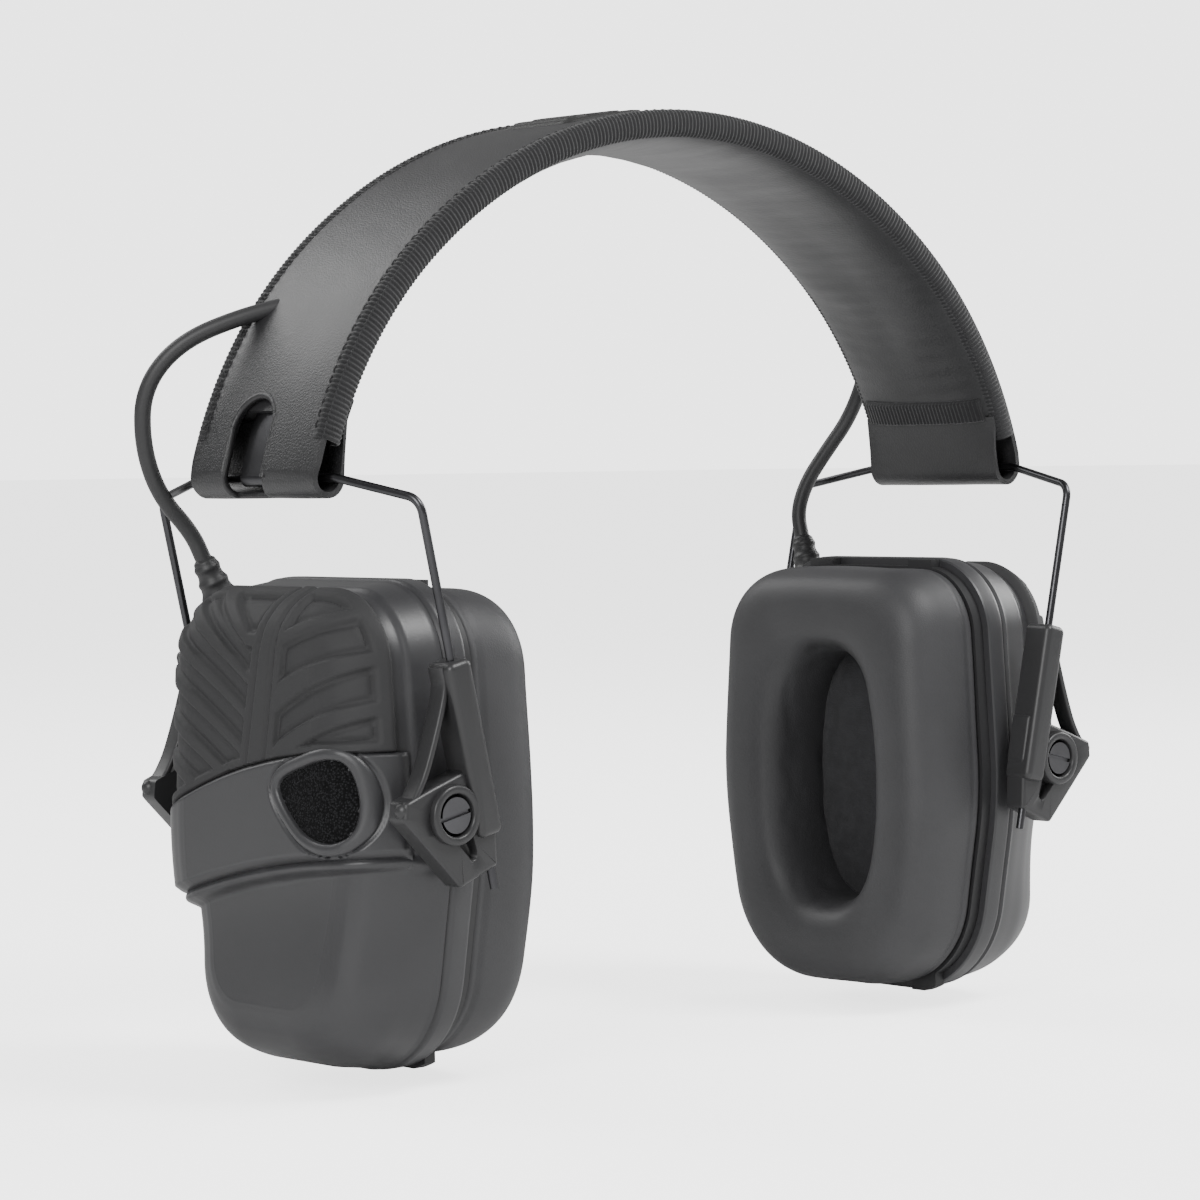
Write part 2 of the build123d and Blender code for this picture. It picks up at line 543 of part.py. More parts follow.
def door_barrel(grow):
    """The door's hinge barrel, on the shell's surface along the door's lower edge."""
    low, high = [level for level in zip(DOME, DOME[1:]) if level[0][1] <= DOOR_RISE <= level[1][1]][-1]
    share = (DOOR_RISE - low[1]) / (high[1] - low[1])
    x = RIM_X + low[0] + (high[0] - low[0]) * share
    half = BARREL_HALF_LENGTH + grow
    return rod((x, -half, CUP_Z + DOOR_BOTTOM), (x, half, CUP_Z + DOOR_BOTTOM), BARREL_RADIUS + grow)


def cup_shell(side):
    """Moulded cup with pivot bosses, a rim and the holes for what is fitted to it (right side)."""
    shell = dome() - dome(-CUP_WALL) - slab(CUP_WALL, -1, 1)
    reach = CLIP_INNER_Y + CLIP_THICKNESS - SCREW_RECESS_DEPTH - SCREW_LENGTH - SCREW_HOLE_SPARE
    for face in (-1, 1):
        start, end = (PIVOT.X, face * reach, PIVOT.Z), (PIVOT.X, face * (CLIP_INNER_Y + 1), PIVOT.Z)
        shell += pivot_boss(face, 0)
        shell -= rod(start, end, SCREW_RADIUS + SCREW_CLEARANCE)
    shell -= over_dome(mic_face(-1.0))
    shell -= relief_root(side, RELIEF_CLEARANCE)
    if side == "right":
        return shell - over_dome(door_face(0)) - door_barrel(SEAM_GAP)
    knob = knob_place()
    root = (knob.X, KNOB_BASE_Y - KNOB_BOSS_LENGTH, knob.Z)
    boss = rod(root, (knob.X, KNOB_BASE_Y, knob.Z), KNOB_BOSS_RADIUS)
    shell += boss & slab(-KNOB_BOSS_LENGTH, 0.5, DOME_HEIGHT)
    deep = (knob.X, KNOB_BASE_Y - 2 * KNOB_BOSS_LENGTH, knob.Z)
    shell -= rod(deep, (knob.X, KNOB_BASE_Y + 1, knob.Z), KNOB_SHAFT_RADIUS + KNOB_SHAFT_CLEARANCE)
    low = CUP_Z - CUP_HEIGHT / 2
    jack = RIM_X + JACK_X
    return shell - rod((jack, 0, low - 1), (jack, 0, low + JACK_LENGTH), JACK_WIDTH / 2 + JACK_HOLE_CLEARANCE)


def cushion_ring():
    """Plate behind the cushion, with the rim tabs that snap over the shell."""
    ring = slab(RING_INSET, -RING_THICKNESS, 0)
    half = TAB_WIDTH / 2
    for level in (1, -1):
        z = CUP_Z + level * (CUP_HEIGHT / 2 - half)
        for y in (-TAB_PITCH, TAB_PITCH):
            tab = block((RIM_X - RING_THICKNESS, y - half, z - half), (RIM_X, y + half, z + half))
            ring += tab & slab(-TAB_PROUD, -RING_THICKNESS, 0)
    return ring - slab(RING_OPENING, -RING_THICKNESS - 1, 1)


def ear_hole(grow, low, high):
    shape = Ellipse(EAR_HOLE_HALF_WIDTH + grow, EAR_HOLE_HALF_HEIGHT + grow)
    return extrude(cup_plane(RIM_X + low) * shape, high - low)


def ear_cushion():
    face = -RING_THICKNESS - CUSHION_THICKNESS
    body = slab(CUSHION_INSET, face, -RING_THICKNESS)
    body = fillet(body.faces().sort_by(Axis.X)[0].edges(), CUSHION_EDGE)
    body -= ear_hole(0, face - 1, 1)
    return fillet(body.faces().sort_by(Axis.X)[0].inner_wires()[0].edges(), EAR_HOLE_LIP)


def foam_liner(side):
    """Sound-absorbing foam behind the cushion, pierced for the speaker."""
    liner = slab(CUP_WALL + LINER_INSET, 0, LINER_THICKNESS)
    liner += slab(RING_OPENING + SEAM_GAP, -RING_THICKNESS, 0)
    liner -= rod((RIM_X + LINER_THICKNESS - SPEAKER_DEPTH, 0, CUP_Z - SPEAKER_DROP),
                 (RIM_X + LINER_THICKNESS + 1, 0, CUP_Z - SPEAKER_DROP), SPEAKER_RADIUS + SEAM_GAP)
    if side == "left":
        knob = knob_place()
        reach = KNOB_BOSS_RADIUS + SEAM_GAP
        inner = KNOB_BASE_Y - CONTROL_LENGTH - CONTROL_HEIGHT - SEAM_GAP
        end = RIM_X + LINER_THICKNESS + 1
        liner -= block((RIM_X, inner, knob.Z - reach), (end, CUP_WIDEST_HALF, knob.Z + reach))
    return liner


def speaker():
    """Round driver: a basket with a smaller magnet behind it."""
    start = RIM_X + LINER_THICKNESS - SPEAKER_DEPTH
    back = start + SPEAKER_DEPTH
    low = CUP_Z - SPEAKER_DROP
    basket = rod((start, 0, low), (back, 0, low), SPEAKER_RADIUS)
    return basket + rod((back, 0, low), (back + MAGNET_DEPTH, 0, low), MAGNET_RADIUS)


def tread_pad(side):
    skin = dome(TREAD_THICKNESS, SKIN_START) - dome()
    return clear_of_fittings(skin & over_dome(edge_face(TREAD_EDGE, CUP_HEIGHT)), side)


def mic_band(side):
    region = edge_face(MIC_BAND_EDGE, CUP_HEIGHT) - offset(edge_face(TREAD_EDGE, CUP_HEIGHT), SEAM_GAP)
    skin = (dome(MIC_BAND_THICKNESS, SKIN_START) - dome()) & over_dome(region)
    return clear_of_fittings(skin - over_dome(mic_face(MIC_RING_WIDTH)), side)


def mic_ring():
    face = mic_face(MIC_RING_WIDTH - MIC_CLEARANCE) - mic_face(0)
    return (dome(MIC_BAND_THICKNESS + MIC_RING_PROUD, SKIN_START) - dome()) & over_dome(face)


def mic_foam():
    face = mic_face(-MIC_CLEARANCE)
    return (dome(MIC_BAND_THICKNESS - MIC_FOAM_SUNK, SKIN_START) - dome()) & over_dome(face)


def microphone():
    y, z = MIC_CENTRE[0] - CUP_WIDEST_HALF, CUP_Z + MIC_CENTRE[1]
    start = RIM_X + MIC_CAPSULE_X
    return rod((start, y, z), (start + MIC_CAPSULE_DEPTH, y, z), MIC_CAPSULE_RADIUS)


def relief_root(side, clearance):
    base, top = relief_ends(side)
    along = (top - base).normalized()
    radius = RELIEF_BASE_RADIUS - RELIEF_ROOT_STEP + clearance
    return rod(base - along * RELIEF_ROOT, base + along * RELIEF_ROOT_LAP, radius)


def strain_relief(side):
    """Flared sleeve where the cord enters the cup."""
    sleeve = rod(*relief_ends(side), RELIEF_BASE_RADIUS, RELIEF_TOP_RADIUS) - dome(RELIEF_CLEARANCE)
    return sleeve.solids().sort_by(SortBy.VOLUME)[-1] + relief_root(side, 0)


# --- controls ---------------------------------------------------------------------------------
def knob_place():
    return Vector(PIVOT.X - KNOB_X, 0, PIVOT.Z - KNOB_DROP)


def volume_knob():
    place = knob_place()
    base = KNOB_BASE_Y + KNOB_CLEARANCE
    knob = rod((place.X, base, place.Z), (place.X, base + KNOB_HEIGHT, place.Z), KNOB_RADIUS)
    knob += rod((place.X, base - CONTROL_LENGTH, place.Z), (place.X, base, place.Z), KNOB_SHAFT_RADIUS)
    axis = Axis((place.X, 0, place.Z), (0, 1, 0))
    rim = place.X + KNOB_RADIUS
    notch = rod((rim, base + KNOB_NOTCH_START, place.Z), (rim, base + KNOB_HEIGHT + 1, place.Z), KNOB_NOTCH_RADIUS)
    for index in range(KNOB_NOTCHES):
        knob -= notch.rotate(axis, index * 360 / KNOB_NOTCHES)
    return knob


def volume_control():
    place = knob_place()
    high = KNOB_BASE_Y + KNOB_CLEARANCE - CONTROL_LENGTH - SEAM_GAP
    half = CONTROL_WIDTH / 2
    low = high - CONTROL_HEIGHT
    return block((place.X - half, low, place.Z - half), (place.X + half, high, place.Z + half))


def circuit_board():
    thick, wide, tall = BOARD_SIZE
    x = RIM_X + BOARD_X
    middle = CUP_Z + BOARD_RISE
    return block((x, -wide / 2, middle - tall / 2), (x + thick, wide / 2, middle + tall / 2))


def aux_jack():
    x = RIM_X + JACK_X
    mouth = CUP_Z - CUP_HEIGHT / 2 + JACK_SUNK
    body = rod((x, 0, mouth), (x, 0, mouth + JACK_LENGTH), JACK_WIDTH / 2)
    return body - rod((x, 0, mouth - 1), (x, 0, mouth + JACK_LENGTH - JACK_END_WALL), JACK_BORE)


# --- battery bay ------------------------------------------------------------------------------
def cells():
    half = CELL_LENGTH / 2
    x = RIM_X + CELL_X
    return [rod((x, -half, CUP_Z + z), (x, half, CUP_Z + z), CELL_RADIUS) for z in CELL_LEVELS]


def battery_tray():
    half = TRAY_HALF_LENGTH
    top = CUP_Z + max(CELL_LEVELS) + CELL_RADIUS + TRAY_CLEARANCE
    bottom = CUP_Z + min(CELL_LEVELS) - CELL_RADIUS - TRAY_CLEARANCE
    back = RIM_X + CELL_X - CELL_RADIUS - TRAY_CLEARANCE
    front = RIM_X + CELL_X + TRAY_LIP
    outer = block((back - TRAY_WALL, -half - TRAY_WALL, bottom - TRAY_WALL),
                  (front, half + TRAY_WALL, top + TRAY_WALL))
    return outer - block((back, -half, bottom), (front + 1, half, top))


def battery_contacts():
    """Sprung plates at the ends of the cells."""
    plates = []
    y = CELL_LENGTH / 2 + TRAY_CLEARANCE / 2
    x = RIM_X + CELL_X
    inner, outer = CONTACT_REACH
    for z in CELL_LEVELS:
        for side in (-1, 1):
            low, high = sorted((side * y, side * (y + CONTACT_THICKNESS)))
            plates.append(block((x - inner, low, CUP_Z + z - inner), (x + outer, high, CUP_Z + z + inner)))
    return plates


def battery_door():
    panel = (dome() - dome(-CUP_WALL)) & over_dome(door_face(SEAM_GAP))
    return panel + door_barrel(0)


# --- write every piece ------------------------------------------------------------------------
def save(name, *shapes):
    solids = [solid for shape in shapes for solid in shape.solids()]
    export_step(Compound(children=solids) if len(solids) > 1 else solids[0], f"parts/{name}.step")
    print(name, len(solids), round(sum(s.volume for s in solids), 1))


def side_pieces(side):
    """Every piece that both sides have, at +X."""
    return {
        "end_tape": [end_tape()],
        "cable": [tube(cable_path(side), CABLE_RADIUS)],
        "yoke_wire": [yoke_wire()],
        "front_clip": [clip()],
        "rear_clip": [mirror(clip(), about=Plane.XZ)],
        "pivot_screws": [pivot_screw(), mirror(pivot_screw(), about=Plane.XZ)],
        "cup_shell": [cup_shell(side)],
        "cushion_ring": [cushion_ring()],
        "ear_cushion": [ear_cushion()],
        "foam_liner": [foam_liner(side)],
        "speaker": [speaker()],
        "tread_pad": [tread_pad(side)],
        "mic_band": [mic_band(side)],
        "mic_ring": [mic_ring()],
        "mic_foam": [mic_foam()],
        "microphone": [microphone()],
        "strain_relief": [strain_relief(side)],
    }


def main():
    os.makedirs("parts", exist_ok=True)
    channel = cord_channel()
    save("headband_cover", headband_cover(channel))
    save("headband_pad", headband_pad(channel))
    save("front_binding", binding(-1))
    save("rear_binding", binding(1))
    save("crown_strip", crown_strip())
    save("band_spring", band_spring())
    save("band_cable", hidden_cord(CABLE_RADIUS))

    for side in ("left", "right"):
        for name, shapes in side_pieces(side).items():
            save(f"{side}_{name}", *[mirrored(shape) if side == "left" else shape for shape in shapes])
    save("battery_tray", battery_tray())
    save("battery_cells", *cells())
    save("battery_contacts", *battery_contacts())
    save("battery_door", battery_door())
    save("volume_knob", mirrored(volume_knob()))
    save("volume_control", mirrored(volume_control()))
    save("circuit_board", mirrored(circuit_board()))
    save("aux_jack", mirrored(aux_jack()))


main()
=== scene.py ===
import bpy
import bmesh
import json
import math
import numpy as np
from mathutils import Matrix, Vector


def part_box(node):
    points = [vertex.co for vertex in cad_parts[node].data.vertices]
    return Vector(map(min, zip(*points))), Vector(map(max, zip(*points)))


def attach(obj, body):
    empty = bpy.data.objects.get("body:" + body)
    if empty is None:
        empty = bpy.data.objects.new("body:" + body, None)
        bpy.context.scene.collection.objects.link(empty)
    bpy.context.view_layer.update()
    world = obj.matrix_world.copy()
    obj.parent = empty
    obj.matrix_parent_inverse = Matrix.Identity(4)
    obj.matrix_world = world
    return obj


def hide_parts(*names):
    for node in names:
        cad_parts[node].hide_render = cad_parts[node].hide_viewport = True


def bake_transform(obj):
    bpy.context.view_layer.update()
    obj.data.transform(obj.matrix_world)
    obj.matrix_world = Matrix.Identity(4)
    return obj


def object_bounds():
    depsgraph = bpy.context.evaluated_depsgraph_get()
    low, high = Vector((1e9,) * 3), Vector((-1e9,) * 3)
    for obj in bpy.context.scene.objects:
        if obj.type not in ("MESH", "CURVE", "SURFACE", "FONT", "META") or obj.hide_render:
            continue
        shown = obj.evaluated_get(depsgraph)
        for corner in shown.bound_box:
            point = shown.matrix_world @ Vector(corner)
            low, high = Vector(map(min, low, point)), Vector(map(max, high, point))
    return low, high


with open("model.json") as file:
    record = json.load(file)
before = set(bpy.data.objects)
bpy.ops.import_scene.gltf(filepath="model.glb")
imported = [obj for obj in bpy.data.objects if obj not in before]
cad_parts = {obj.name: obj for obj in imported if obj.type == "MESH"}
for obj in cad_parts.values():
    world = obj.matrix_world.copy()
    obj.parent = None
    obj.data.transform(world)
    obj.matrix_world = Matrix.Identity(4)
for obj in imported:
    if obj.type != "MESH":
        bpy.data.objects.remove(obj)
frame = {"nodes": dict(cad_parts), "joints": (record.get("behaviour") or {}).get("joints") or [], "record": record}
CAD_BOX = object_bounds()
MM = 0.001

# Shapes are worked out in millimetres, in the frame's own axes, on the right side (+X); the left
# side is the mirror image.  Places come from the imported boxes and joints.
JOINTS = {joint["name"]: joint for joint in frame["joints"]}


def box_mm(node):
    low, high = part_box(node)
    return np.array(low) / MM, np.array(high) / MM


HINGE = np.array(JOINTS["right_fold"]["pos_m"]) / MM
PIVOT = np.array(JOINTS["right_tilt"]["pos_m"]) / MM
SHELL_LOW, SHELL_HIGH = box_mm("right_cup_shell")
RIM_X = SHELL_LOW[0]
CUP_Z = (SHELL_LOW[2] + SHELL_HIGH[2]) / 2
CUSHION_LOW, CUSHION_HIGH = box_mm("right_ear_cushion")
COVER_HIGH = box_mm("headband_cover")[1]
BAND_TOP = COVER_HIGH[2]

# --- headband geometry ---
CROWN_RADIUS = 124.0
CROWN_HALF_ANGLE = math.radians(42)
SIDE_RADIUS = 103.3
LOOP_RADIUS = 4.5
COVER_WALL = 1.5
EDGE_THICKNESS = 5.0
BAND_THICKNESS = 8.0
BAND_HALF = COVER_HIGH[1]
PAD_END = math.radians(67)
TAPE_START = math.radians(64)
BINDING_END = math.radians(71)
LOOP_HALF = 21.5
CROWN_CENTRE = np.array([0.0, BAND_TOP - CROWN_RADIUS])
CROWN_END = np.array([math.sin(CROWN_HALF_ANGLE), math.cos(CROWN_HALF_ANGLE)])
SIDE_CENTRE = CROWN_CENTRE + (CROWN_RADIUS - SIDE_RADIUS) * CROWN_END
HINGE_ANGLE = math.atan2(HINGE[0] - SIDE_CENTRE[0], HINGE[2] - SIDE_CENTRE[1])
CROWN_LENGTH = CROWN_RADIUS * CROWN_HALF_ANGLE


def band_length(angle):
    """Distance along the leather from the crown's middle to an angle on the side arc."""
    return CROWN_LENGTH + SIDE_RADIUS * (angle - CROWN_HALF_ANGLE)


def band_points(s, y, depth):
    """Points on the band: s along the leather from the crown, y across, depth below its face."""
    s, y, depth = np.broadcast_arrays(np.asarray(s, float), y, depth)
    far = np.abs(s)
    on_crown = far <= CROWN_LENGTH
    angle = np.where(on_crown, far / CROWN_RADIUS, CROWN_HALF_ANGLE + (far - CROWN_LENGTH) / SIDE_RADIUS)
    reach = np.where(on_crown, CROWN_RADIUS, SIDE_RADIUS) - depth
    centre_x = np.where(on_crown, CROWN_CENTRE[0], SIDE_CENTRE[0])
    centre_z = np.where(on_crown, CROWN_CENTRE[1], SIDE_CENTRE[1])
    x = centre_x + reach * np.sin(angle)
    return np.stack([np.sign(s) * x, y, centre_z + reach * np.cos(angle)], -1)


# --- small numeric helpers ---
def smooth(t):
    t = np.clip(t, 0, 1)
    return t * t * (3 - 2 * t)


def curve_through(points, count):
    """Catmull-Rom curve through open points, evenly parametrised."""
    p = np.asarray(points, float)
    p = np.vstack([2 * p[0] - p[1], p, 2 * p[-1] - p[-2]])
    u = np.linspace(0, len(p) - 3 - 1e-9, count)
    i = u.astype(int)
    t = (u - i)[:, None]
    a, b, c, d = p[i], p[i + 1], p[i + 2], p[i + 3]
    square, cube = 2 * a - 5 * b + 4 * c - d, 3 * b - a - 3 * c + d
    return 0.5 * (2 * b + (c - a) * t + square * t ** 2 + cube * t ** 3)


def waves(points, seed, size, octaves=3):
    """Smooth seeded unevenness between about -1 and 1, with features of a size in millimetres."""
    rng = np.random.default_rng(seed)
    total = np.zeros(points.shape[:-1])
    for octave in range(octaves):
        for _ in range(5):
            direction = rng.normal(size=3)
            direction /= np.linalg.norm(direction)
            k = 2 * math.pi / (size / 2 ** octave) * rng.uniform(0.7, 1.3)
            total += np.sin(points @ direction * k + rng.uniform(0, 6.3)) / 2 ** octave
    return total / (2.2 * octaves)


def unit(vectors):
    return vectors / np.linalg.norm(vectors, axis=-1, keepdims=True)


def line_distance(points, corners):
    """Distance to an open line of straight pieces."""
    best = np.full(points.shape[:-1], 1e9)
    for a, b in zip(corners[:-1], corners[1:]):
        edge = b - a
        t = np.clip(((points - a) @ edge) / (edge @ edge), 0, 1)
        best = np.minimum(best, np.linalg.norm(points - a - t[..., None] * edge, axis=-1))
    return best


def polygon_distance(points, corners):
    """Signed distance to a closed outline, positive outside."""
    best = line_distance(points, np.vstack([corners, corners[:1]]))
    inside = np.zeros(points.shape[:-1], bool)
    for a, b in zip(corners, np.roll(corners, -1, 0)):
        crosses = (a[1] > points[..., 1]) != (b[1] > points[..., 1])
        with np.errstate(divide="ignore", invalid="ignore"):
            x = a[0] + (points[..., 1] - a[1]) * (b - a)[0] / (b - a)[1]
        inside ^= crosses & (points[..., 0] < x)
    return np.where(inside, -best, best)


def arc_circle(edge):
    """Centre and radius of the circle through three points."""
    (ax, ay), (bx, by), (cx, cy) = edge
    a, b, c = ax ** 2 + ay ** 2, bx ** 2 + by ** 2, cx ** 2 + cy ** 2
    d = 2 * (ax * (by - cy) + bx * (cy - ay) + cx * (ay - by))
    x = (a * (by - cy) + b * (cy - ay) + c * (ay - by)) / d
    y = (a * (cx - bx) + b * (ax - cx) + c * (bx - ax)) / d
    return x, y, math.hypot(ax - x, ay - y)


def arc_height(points, edge):
    """Signed distance above the circle through three points."""
    x, y, radius = arc_circle(edge)
    return np.linalg.norm(points - np.array([x, y]), axis=-1) - radius


def arc_level(y, edge):
    """Height at y of the circle through three points."""
    centre_y, centre_z, radius = arc_circle(edge)
    return centre_z + np.sqrt(np.maximum(radius ** 2 - (y - centre_y) ** 2, 0))


SHARP_ANGLE = 55


# --- meshes ---
def make_piece(name, mesh_data, body, slot, *nodes, material=None, smooth_faces=True):
    """A piece from points in millimetres and faces; one named left_ is mirrored to the left side."""
    verts, faces = mesh_data
    verts = np.asarray(verts, float) * MM
    if name.startswith("left_"):
        verts = verts * np.array([-1.0, 1.0, 1.0])
        faces = [tuple(reversed(f)) for f in faces]
    mesh = bpy.data.meshes.new(name)
    mesh.from_pydata([tuple(v) for v in verts], [], [tuple(int(i) for i in f) for f in faces])
    mesh.update()
    if smooth_faces:
        mesh.polygons.foreach_set("use_smooth", [True] * len(mesh.polygons))
    piece = bpy.data.objects.new(name, mesh)
    bpy.context.scene.collection.objects.link(piece)
    outward_normals(piece)
    mesh.set_sharp_from_angle(angle=math.radians(SHARP_ANGLE))
    piece.data.materials.append(MAT[material or slot])
    if nodes:
        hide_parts(*nodes)
    if body:
        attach(piece, body)
    return piece


def outward_normals(piece):
    bm = bmesh.new()
    bm.from_mesh(piece.data)
    bmesh.ops.recalc_face_normals(bm, faces=bm.faces)
    bm.to_mesh(piece.data)
    bm.free()


def grid_faces(rows, columns, closed=False, keep=None):
    faces = []
    last = columns if closed else columns - 1
    for i in range(rows - 1):
        for j in range(last):
            k = (j + 1) % columns
            if keep is None or keep[i, j] or keep[i + 1, j] or keep[i, k] or keep[i + 1, k]:
                faces.append((i * columns + j, i * columns + k, (i + 1) * columns + k, (i + 1) * columns + j))
    return faces


def thick_sheet(top, bottom, faces):
    """A closed body between two surfaces that share their faces."""
    used = sorted({i for f in faces for i in f})
    index = {old: new for new, old in enumerate(used)}
    count = len(used)
    faces = [tuple(index[i] for i in f) for f in faces]
    verts = np.vstack([top[used], bottom[used]])
    edges = {}
    for f in faces:
        for a, b in zip(f, f[1:] + f[:1]):
            if a != b:
                edges[(a, b)] = edges.get((a, b), 0) + 1
    sides = [(b, a, a + count, b + count) for a, b in edges if (b, a) not in edges]
    return verts, faces + [tuple(i + count for i in reversed(f)) for f in faces] + sides


def slab(top, bottom, closed=False, keep=None, capped=False):
    """A closed body between two grids of points; capped fills the last row of a closed grid."""
    rows, columns = top.shape[:2]
    faces = grid_faces(rows, columns, closed, keep)
    if capped:
        faces.append(tuple((rows - 1) * columns + j for j in range(columns)))
    return thick_sheet(top.reshape(-1, 3), bottom.reshape(-1, 3), faces)


def surface_normals(grid, closed):
    """Unit normals of a grid of points, from its own slopes."""
    along = np.gradient(grid, axis=0)
    if closed:
        across = np.roll(grid, -1, 1) - np.roll(grid, 1, 1)
    else:
        across = np.gradient(grid, axis=1)
    normal = np.cross(along, across)
    return normal / np.maximum(np.linalg.norm(normal, axis=-1, keepdims=True), 1e-9)


def stack(rings):
    """Closed solid through rings of equal counts, each end closed to its middle."""
    count = len(rings[0])
    verts = np.vstack([*rings, rings[0].mean(0), rings[-1].mean(0)])
    faces = grid_faces(len(rings), count, closed=True)
    first, last, end = len(verts) - 2, len(verts) - 1, (len(rings) - 1) * count
    for a in range(count):
        b = (a + 1) % count
        faces.append((b, a, first))
        faces.append((end + a, end + b, last))
    return verts, faces


def circle(count):
    turn = np.linspace(0, 2 * math.pi, count, endpoint=False)
    return np.column_stack([np.cos(turn), np.sin(turn)])


def tube_mesh(path, radii, sides):
    """A round tube along points, with a steady frame; radii is one number or one for each point."""
    path = np.asarray(path, float)
    tangents = unit(np.gradient(path, axis=0))
    normal = np.cross(tangents[0], [0.3, 0.9, 0.2])
    rings = []
    for point, tangent, radius in zip(path, tangents, np.broadcast_to(radii, len(path))):
        normal = unit(normal - tangent * (normal @ tangent))
        rings.append(point + radius * circle(sides) @ np.array([normal, np.cross(tangent, normal)]))
    return stack(rings)


def turned_on_y(x, z, y, radii, sides=40):
    """Round solid about a front-to-back axis through x and z."""
    return tube_mesh([(x, at, z) for at in y], radii, sides)


def joined(parts):
    """Several meshes as one."""
    verts, faces, start = [], [], 0
    for part_verts, part_faces in parts:
        verts.append(part_verts)
        faces += [tuple(i + start for i in face) for face in part_faces]
        start += len(part_verts)
    return np.vstack(verts), faces


# --- materials ---
def new_material(name, colour, roughness, specular=0.5):
    material = bpy.data.materials.new(name)
    material.use_nodes = True
    shader = material.node_tree.nodes["Principled BSDF"]
    shader.inputs["Base Color"].default_value = (*colour, 1)
    shader.inputs["Roughness"].default_value = roughness
    shader.inputs["Specular IOR Level"].default_value = specular
    return material, shader


def add(material, kind, **values):
    node = material.node_tree.nodes.new(kind)
    for key, value in values.items():
        if hasattr(node, key):
            setattr(node, key, value)
        else:
            node.inputs[key.replace("_", " ")].default_value = value
    return node


def place(material):
    return add(material, "ShaderNodeTexCoord").outputs["Object"]


def link(material, a, b):
    material.node_tree.links.new(a, b)


def noise_height(material, size_mm, detail=4.0, stretch=None):
    noise = add(material, "ShaderNodeTexNoise", Scale=1000 / size_mm, Detail=detail)
    if stretch:
        mapping = add(material, "ShaderNodeMapping")
        mapping.inputs["Scale"].default_value = stretch
        link(material, place(material), mapping.inputs["Vector"])
        link(material, mapping.outputs["Vector"], noise.inputs["Vector"])
    else:
        link(material, place(material), noise.inputs["Vector"])
    return noise.outputs["Fac"]


def bump(material, shader, heights):
    """Chains (height output, distance in mm, strength) bumps into the shader's normal."""
    previous = None
    for height, distance, strength in heights:
        node = add(material, "ShaderNodeBump", Distance=distance * MM, Strength=strength)
        link(material, height, node.inputs["Height"])
        if previous is not None:
            link(material, previous, node.inputs["Normal"])
        previous = node.outputs["Normal"]
    link(material, previous, shader.inputs["Normal"])


def vary(material, shader, colour, size_mm, amount, roughness, rough_amount):
    """Uneven colour and gloss, as handling and moulding leave them."""
    patches = noise_height(material, size_mm, 5.0)
    ramp = add(material, "ShaderNodeValToRGB")
    ramp.color_ramp.elements[0].position = 0.3
    ramp.color_ramp.elements[1].position = 0.72
    ramp.color_ramp.elements[0].color = (*[c * (1 - amount) for c in colour], 1)
    ramp.color_ramp.elements[1].color = (*[c * (1 + amount) for c in colour], 1)
    link(material, patches, ramp.inputs["Fac"])
    link(material, ramp.outputs["Color"], shader.inputs["Base Color"])
    rough = add(material, "ShaderNodeMapRange")
    rough.inputs["To Min"].default_value = roughness - rough_amount
    rough.inputs["To Max"].default_value = roughness + rough_amount
    link(material, patches, rough.inputs["Value"])
    link(material, rough.outputs["Result"], shader.inputs["Roughness"])


def leather(name, colour, roughness, grain_mm, grain, wrinkle):
    material, shader = new_material(name, colour, roughness, 0.45)
    cells = add(material, "ShaderNodeTexVoronoi", feature="DISTANCE_TO_EDGE", Scale=1000 / grain_mm)
    link(material, place(material), cells.inputs["Vector"])
    creases = add(material, "ShaderNodeMath", operation="MINIMUM")
    creases.inputs[1].default_value = 0.25
    link(material, cells.outputs["Distance"], creases.inputs[0])
    bump(material, shader, [(creases.outputs["Value"], 0.35, grain),
                            (noise_height(material, grain_mm * 0.5), 0.1, grain * 0.6),
                            (noise_height(material, 9, 5.0), 0.6, wrinkle)])
    vary(material, shader, colour, 22, 0.12, roughness, 0.06)
    return material


def moulded(name, colour, roughness, texture_mm, strength, specular=0.5):
    material, shader = new_material(name, colour, roughness, specular)
    bump(material, shader, [(noise_height(material, texture_mm, 3.0), 0.06, strength),
                            (noise_height(material, 30, 2.0), 0.3, 0.06)])
    vary(material, shader, colour, 35, 0.06, roughness, 0.04)
    return material


def metal(name, colour, roughness):
    material, shader = new_material(name, colour, roughness)
    shader.inputs["Metallic"].default_value = 1.0
    bump(material, shader, [(noise_height(material, 1.2, 6.0, (0.15, 1, 0.15)), 0.05, 0.25)])
    vary(material, shader, colour, 9, 0.18, roughness, 0.08)
    return material


def woven(name, colour, roughness):
    material, shader = new_material(name, colour, roughness, 0.25)
    shader.inputs["Sheen Weight"].default_value = 0.25
    bump(material, shader, [(noise_height(material, 0.25, 2.0), 0.12, 0.8),
                            (noise_height(material, 0.5, 2.0, (1, 0.25, 1)), 0.12, 0.6)])
    vary(material, shader, colour, 3, 0.2, roughness, 0.04)
    return material


def open_foam(name, colour):
    material, shader = new_material(name, colour, 0.95, 0.15)
    pores = add(material, "ShaderNodeTexVoronoi", Scale=1000 / 0.55)
    link(material, place(material), pores.inputs["Vector"])
    bump(material, shader, [(pores.outputs["Distance"], 0.5, 1.0)])
    ramp = add(material, "ShaderNodeValToRGB")
    ramp.color_ramp.elements[0].color = (*[c * 2.4 for c in colour], 1)
    ramp.color_ramp.elements[1].color = (*[c * 0.3 for c in colour], 1)
    ramp.color_ramp.elements[1].position = 0.55
    link(material, pores.outputs["Distance"], ramp.inputs["Fac"])
    link(material, ramp.outputs["Color"], shader.inputs["Base Color"])
    return material


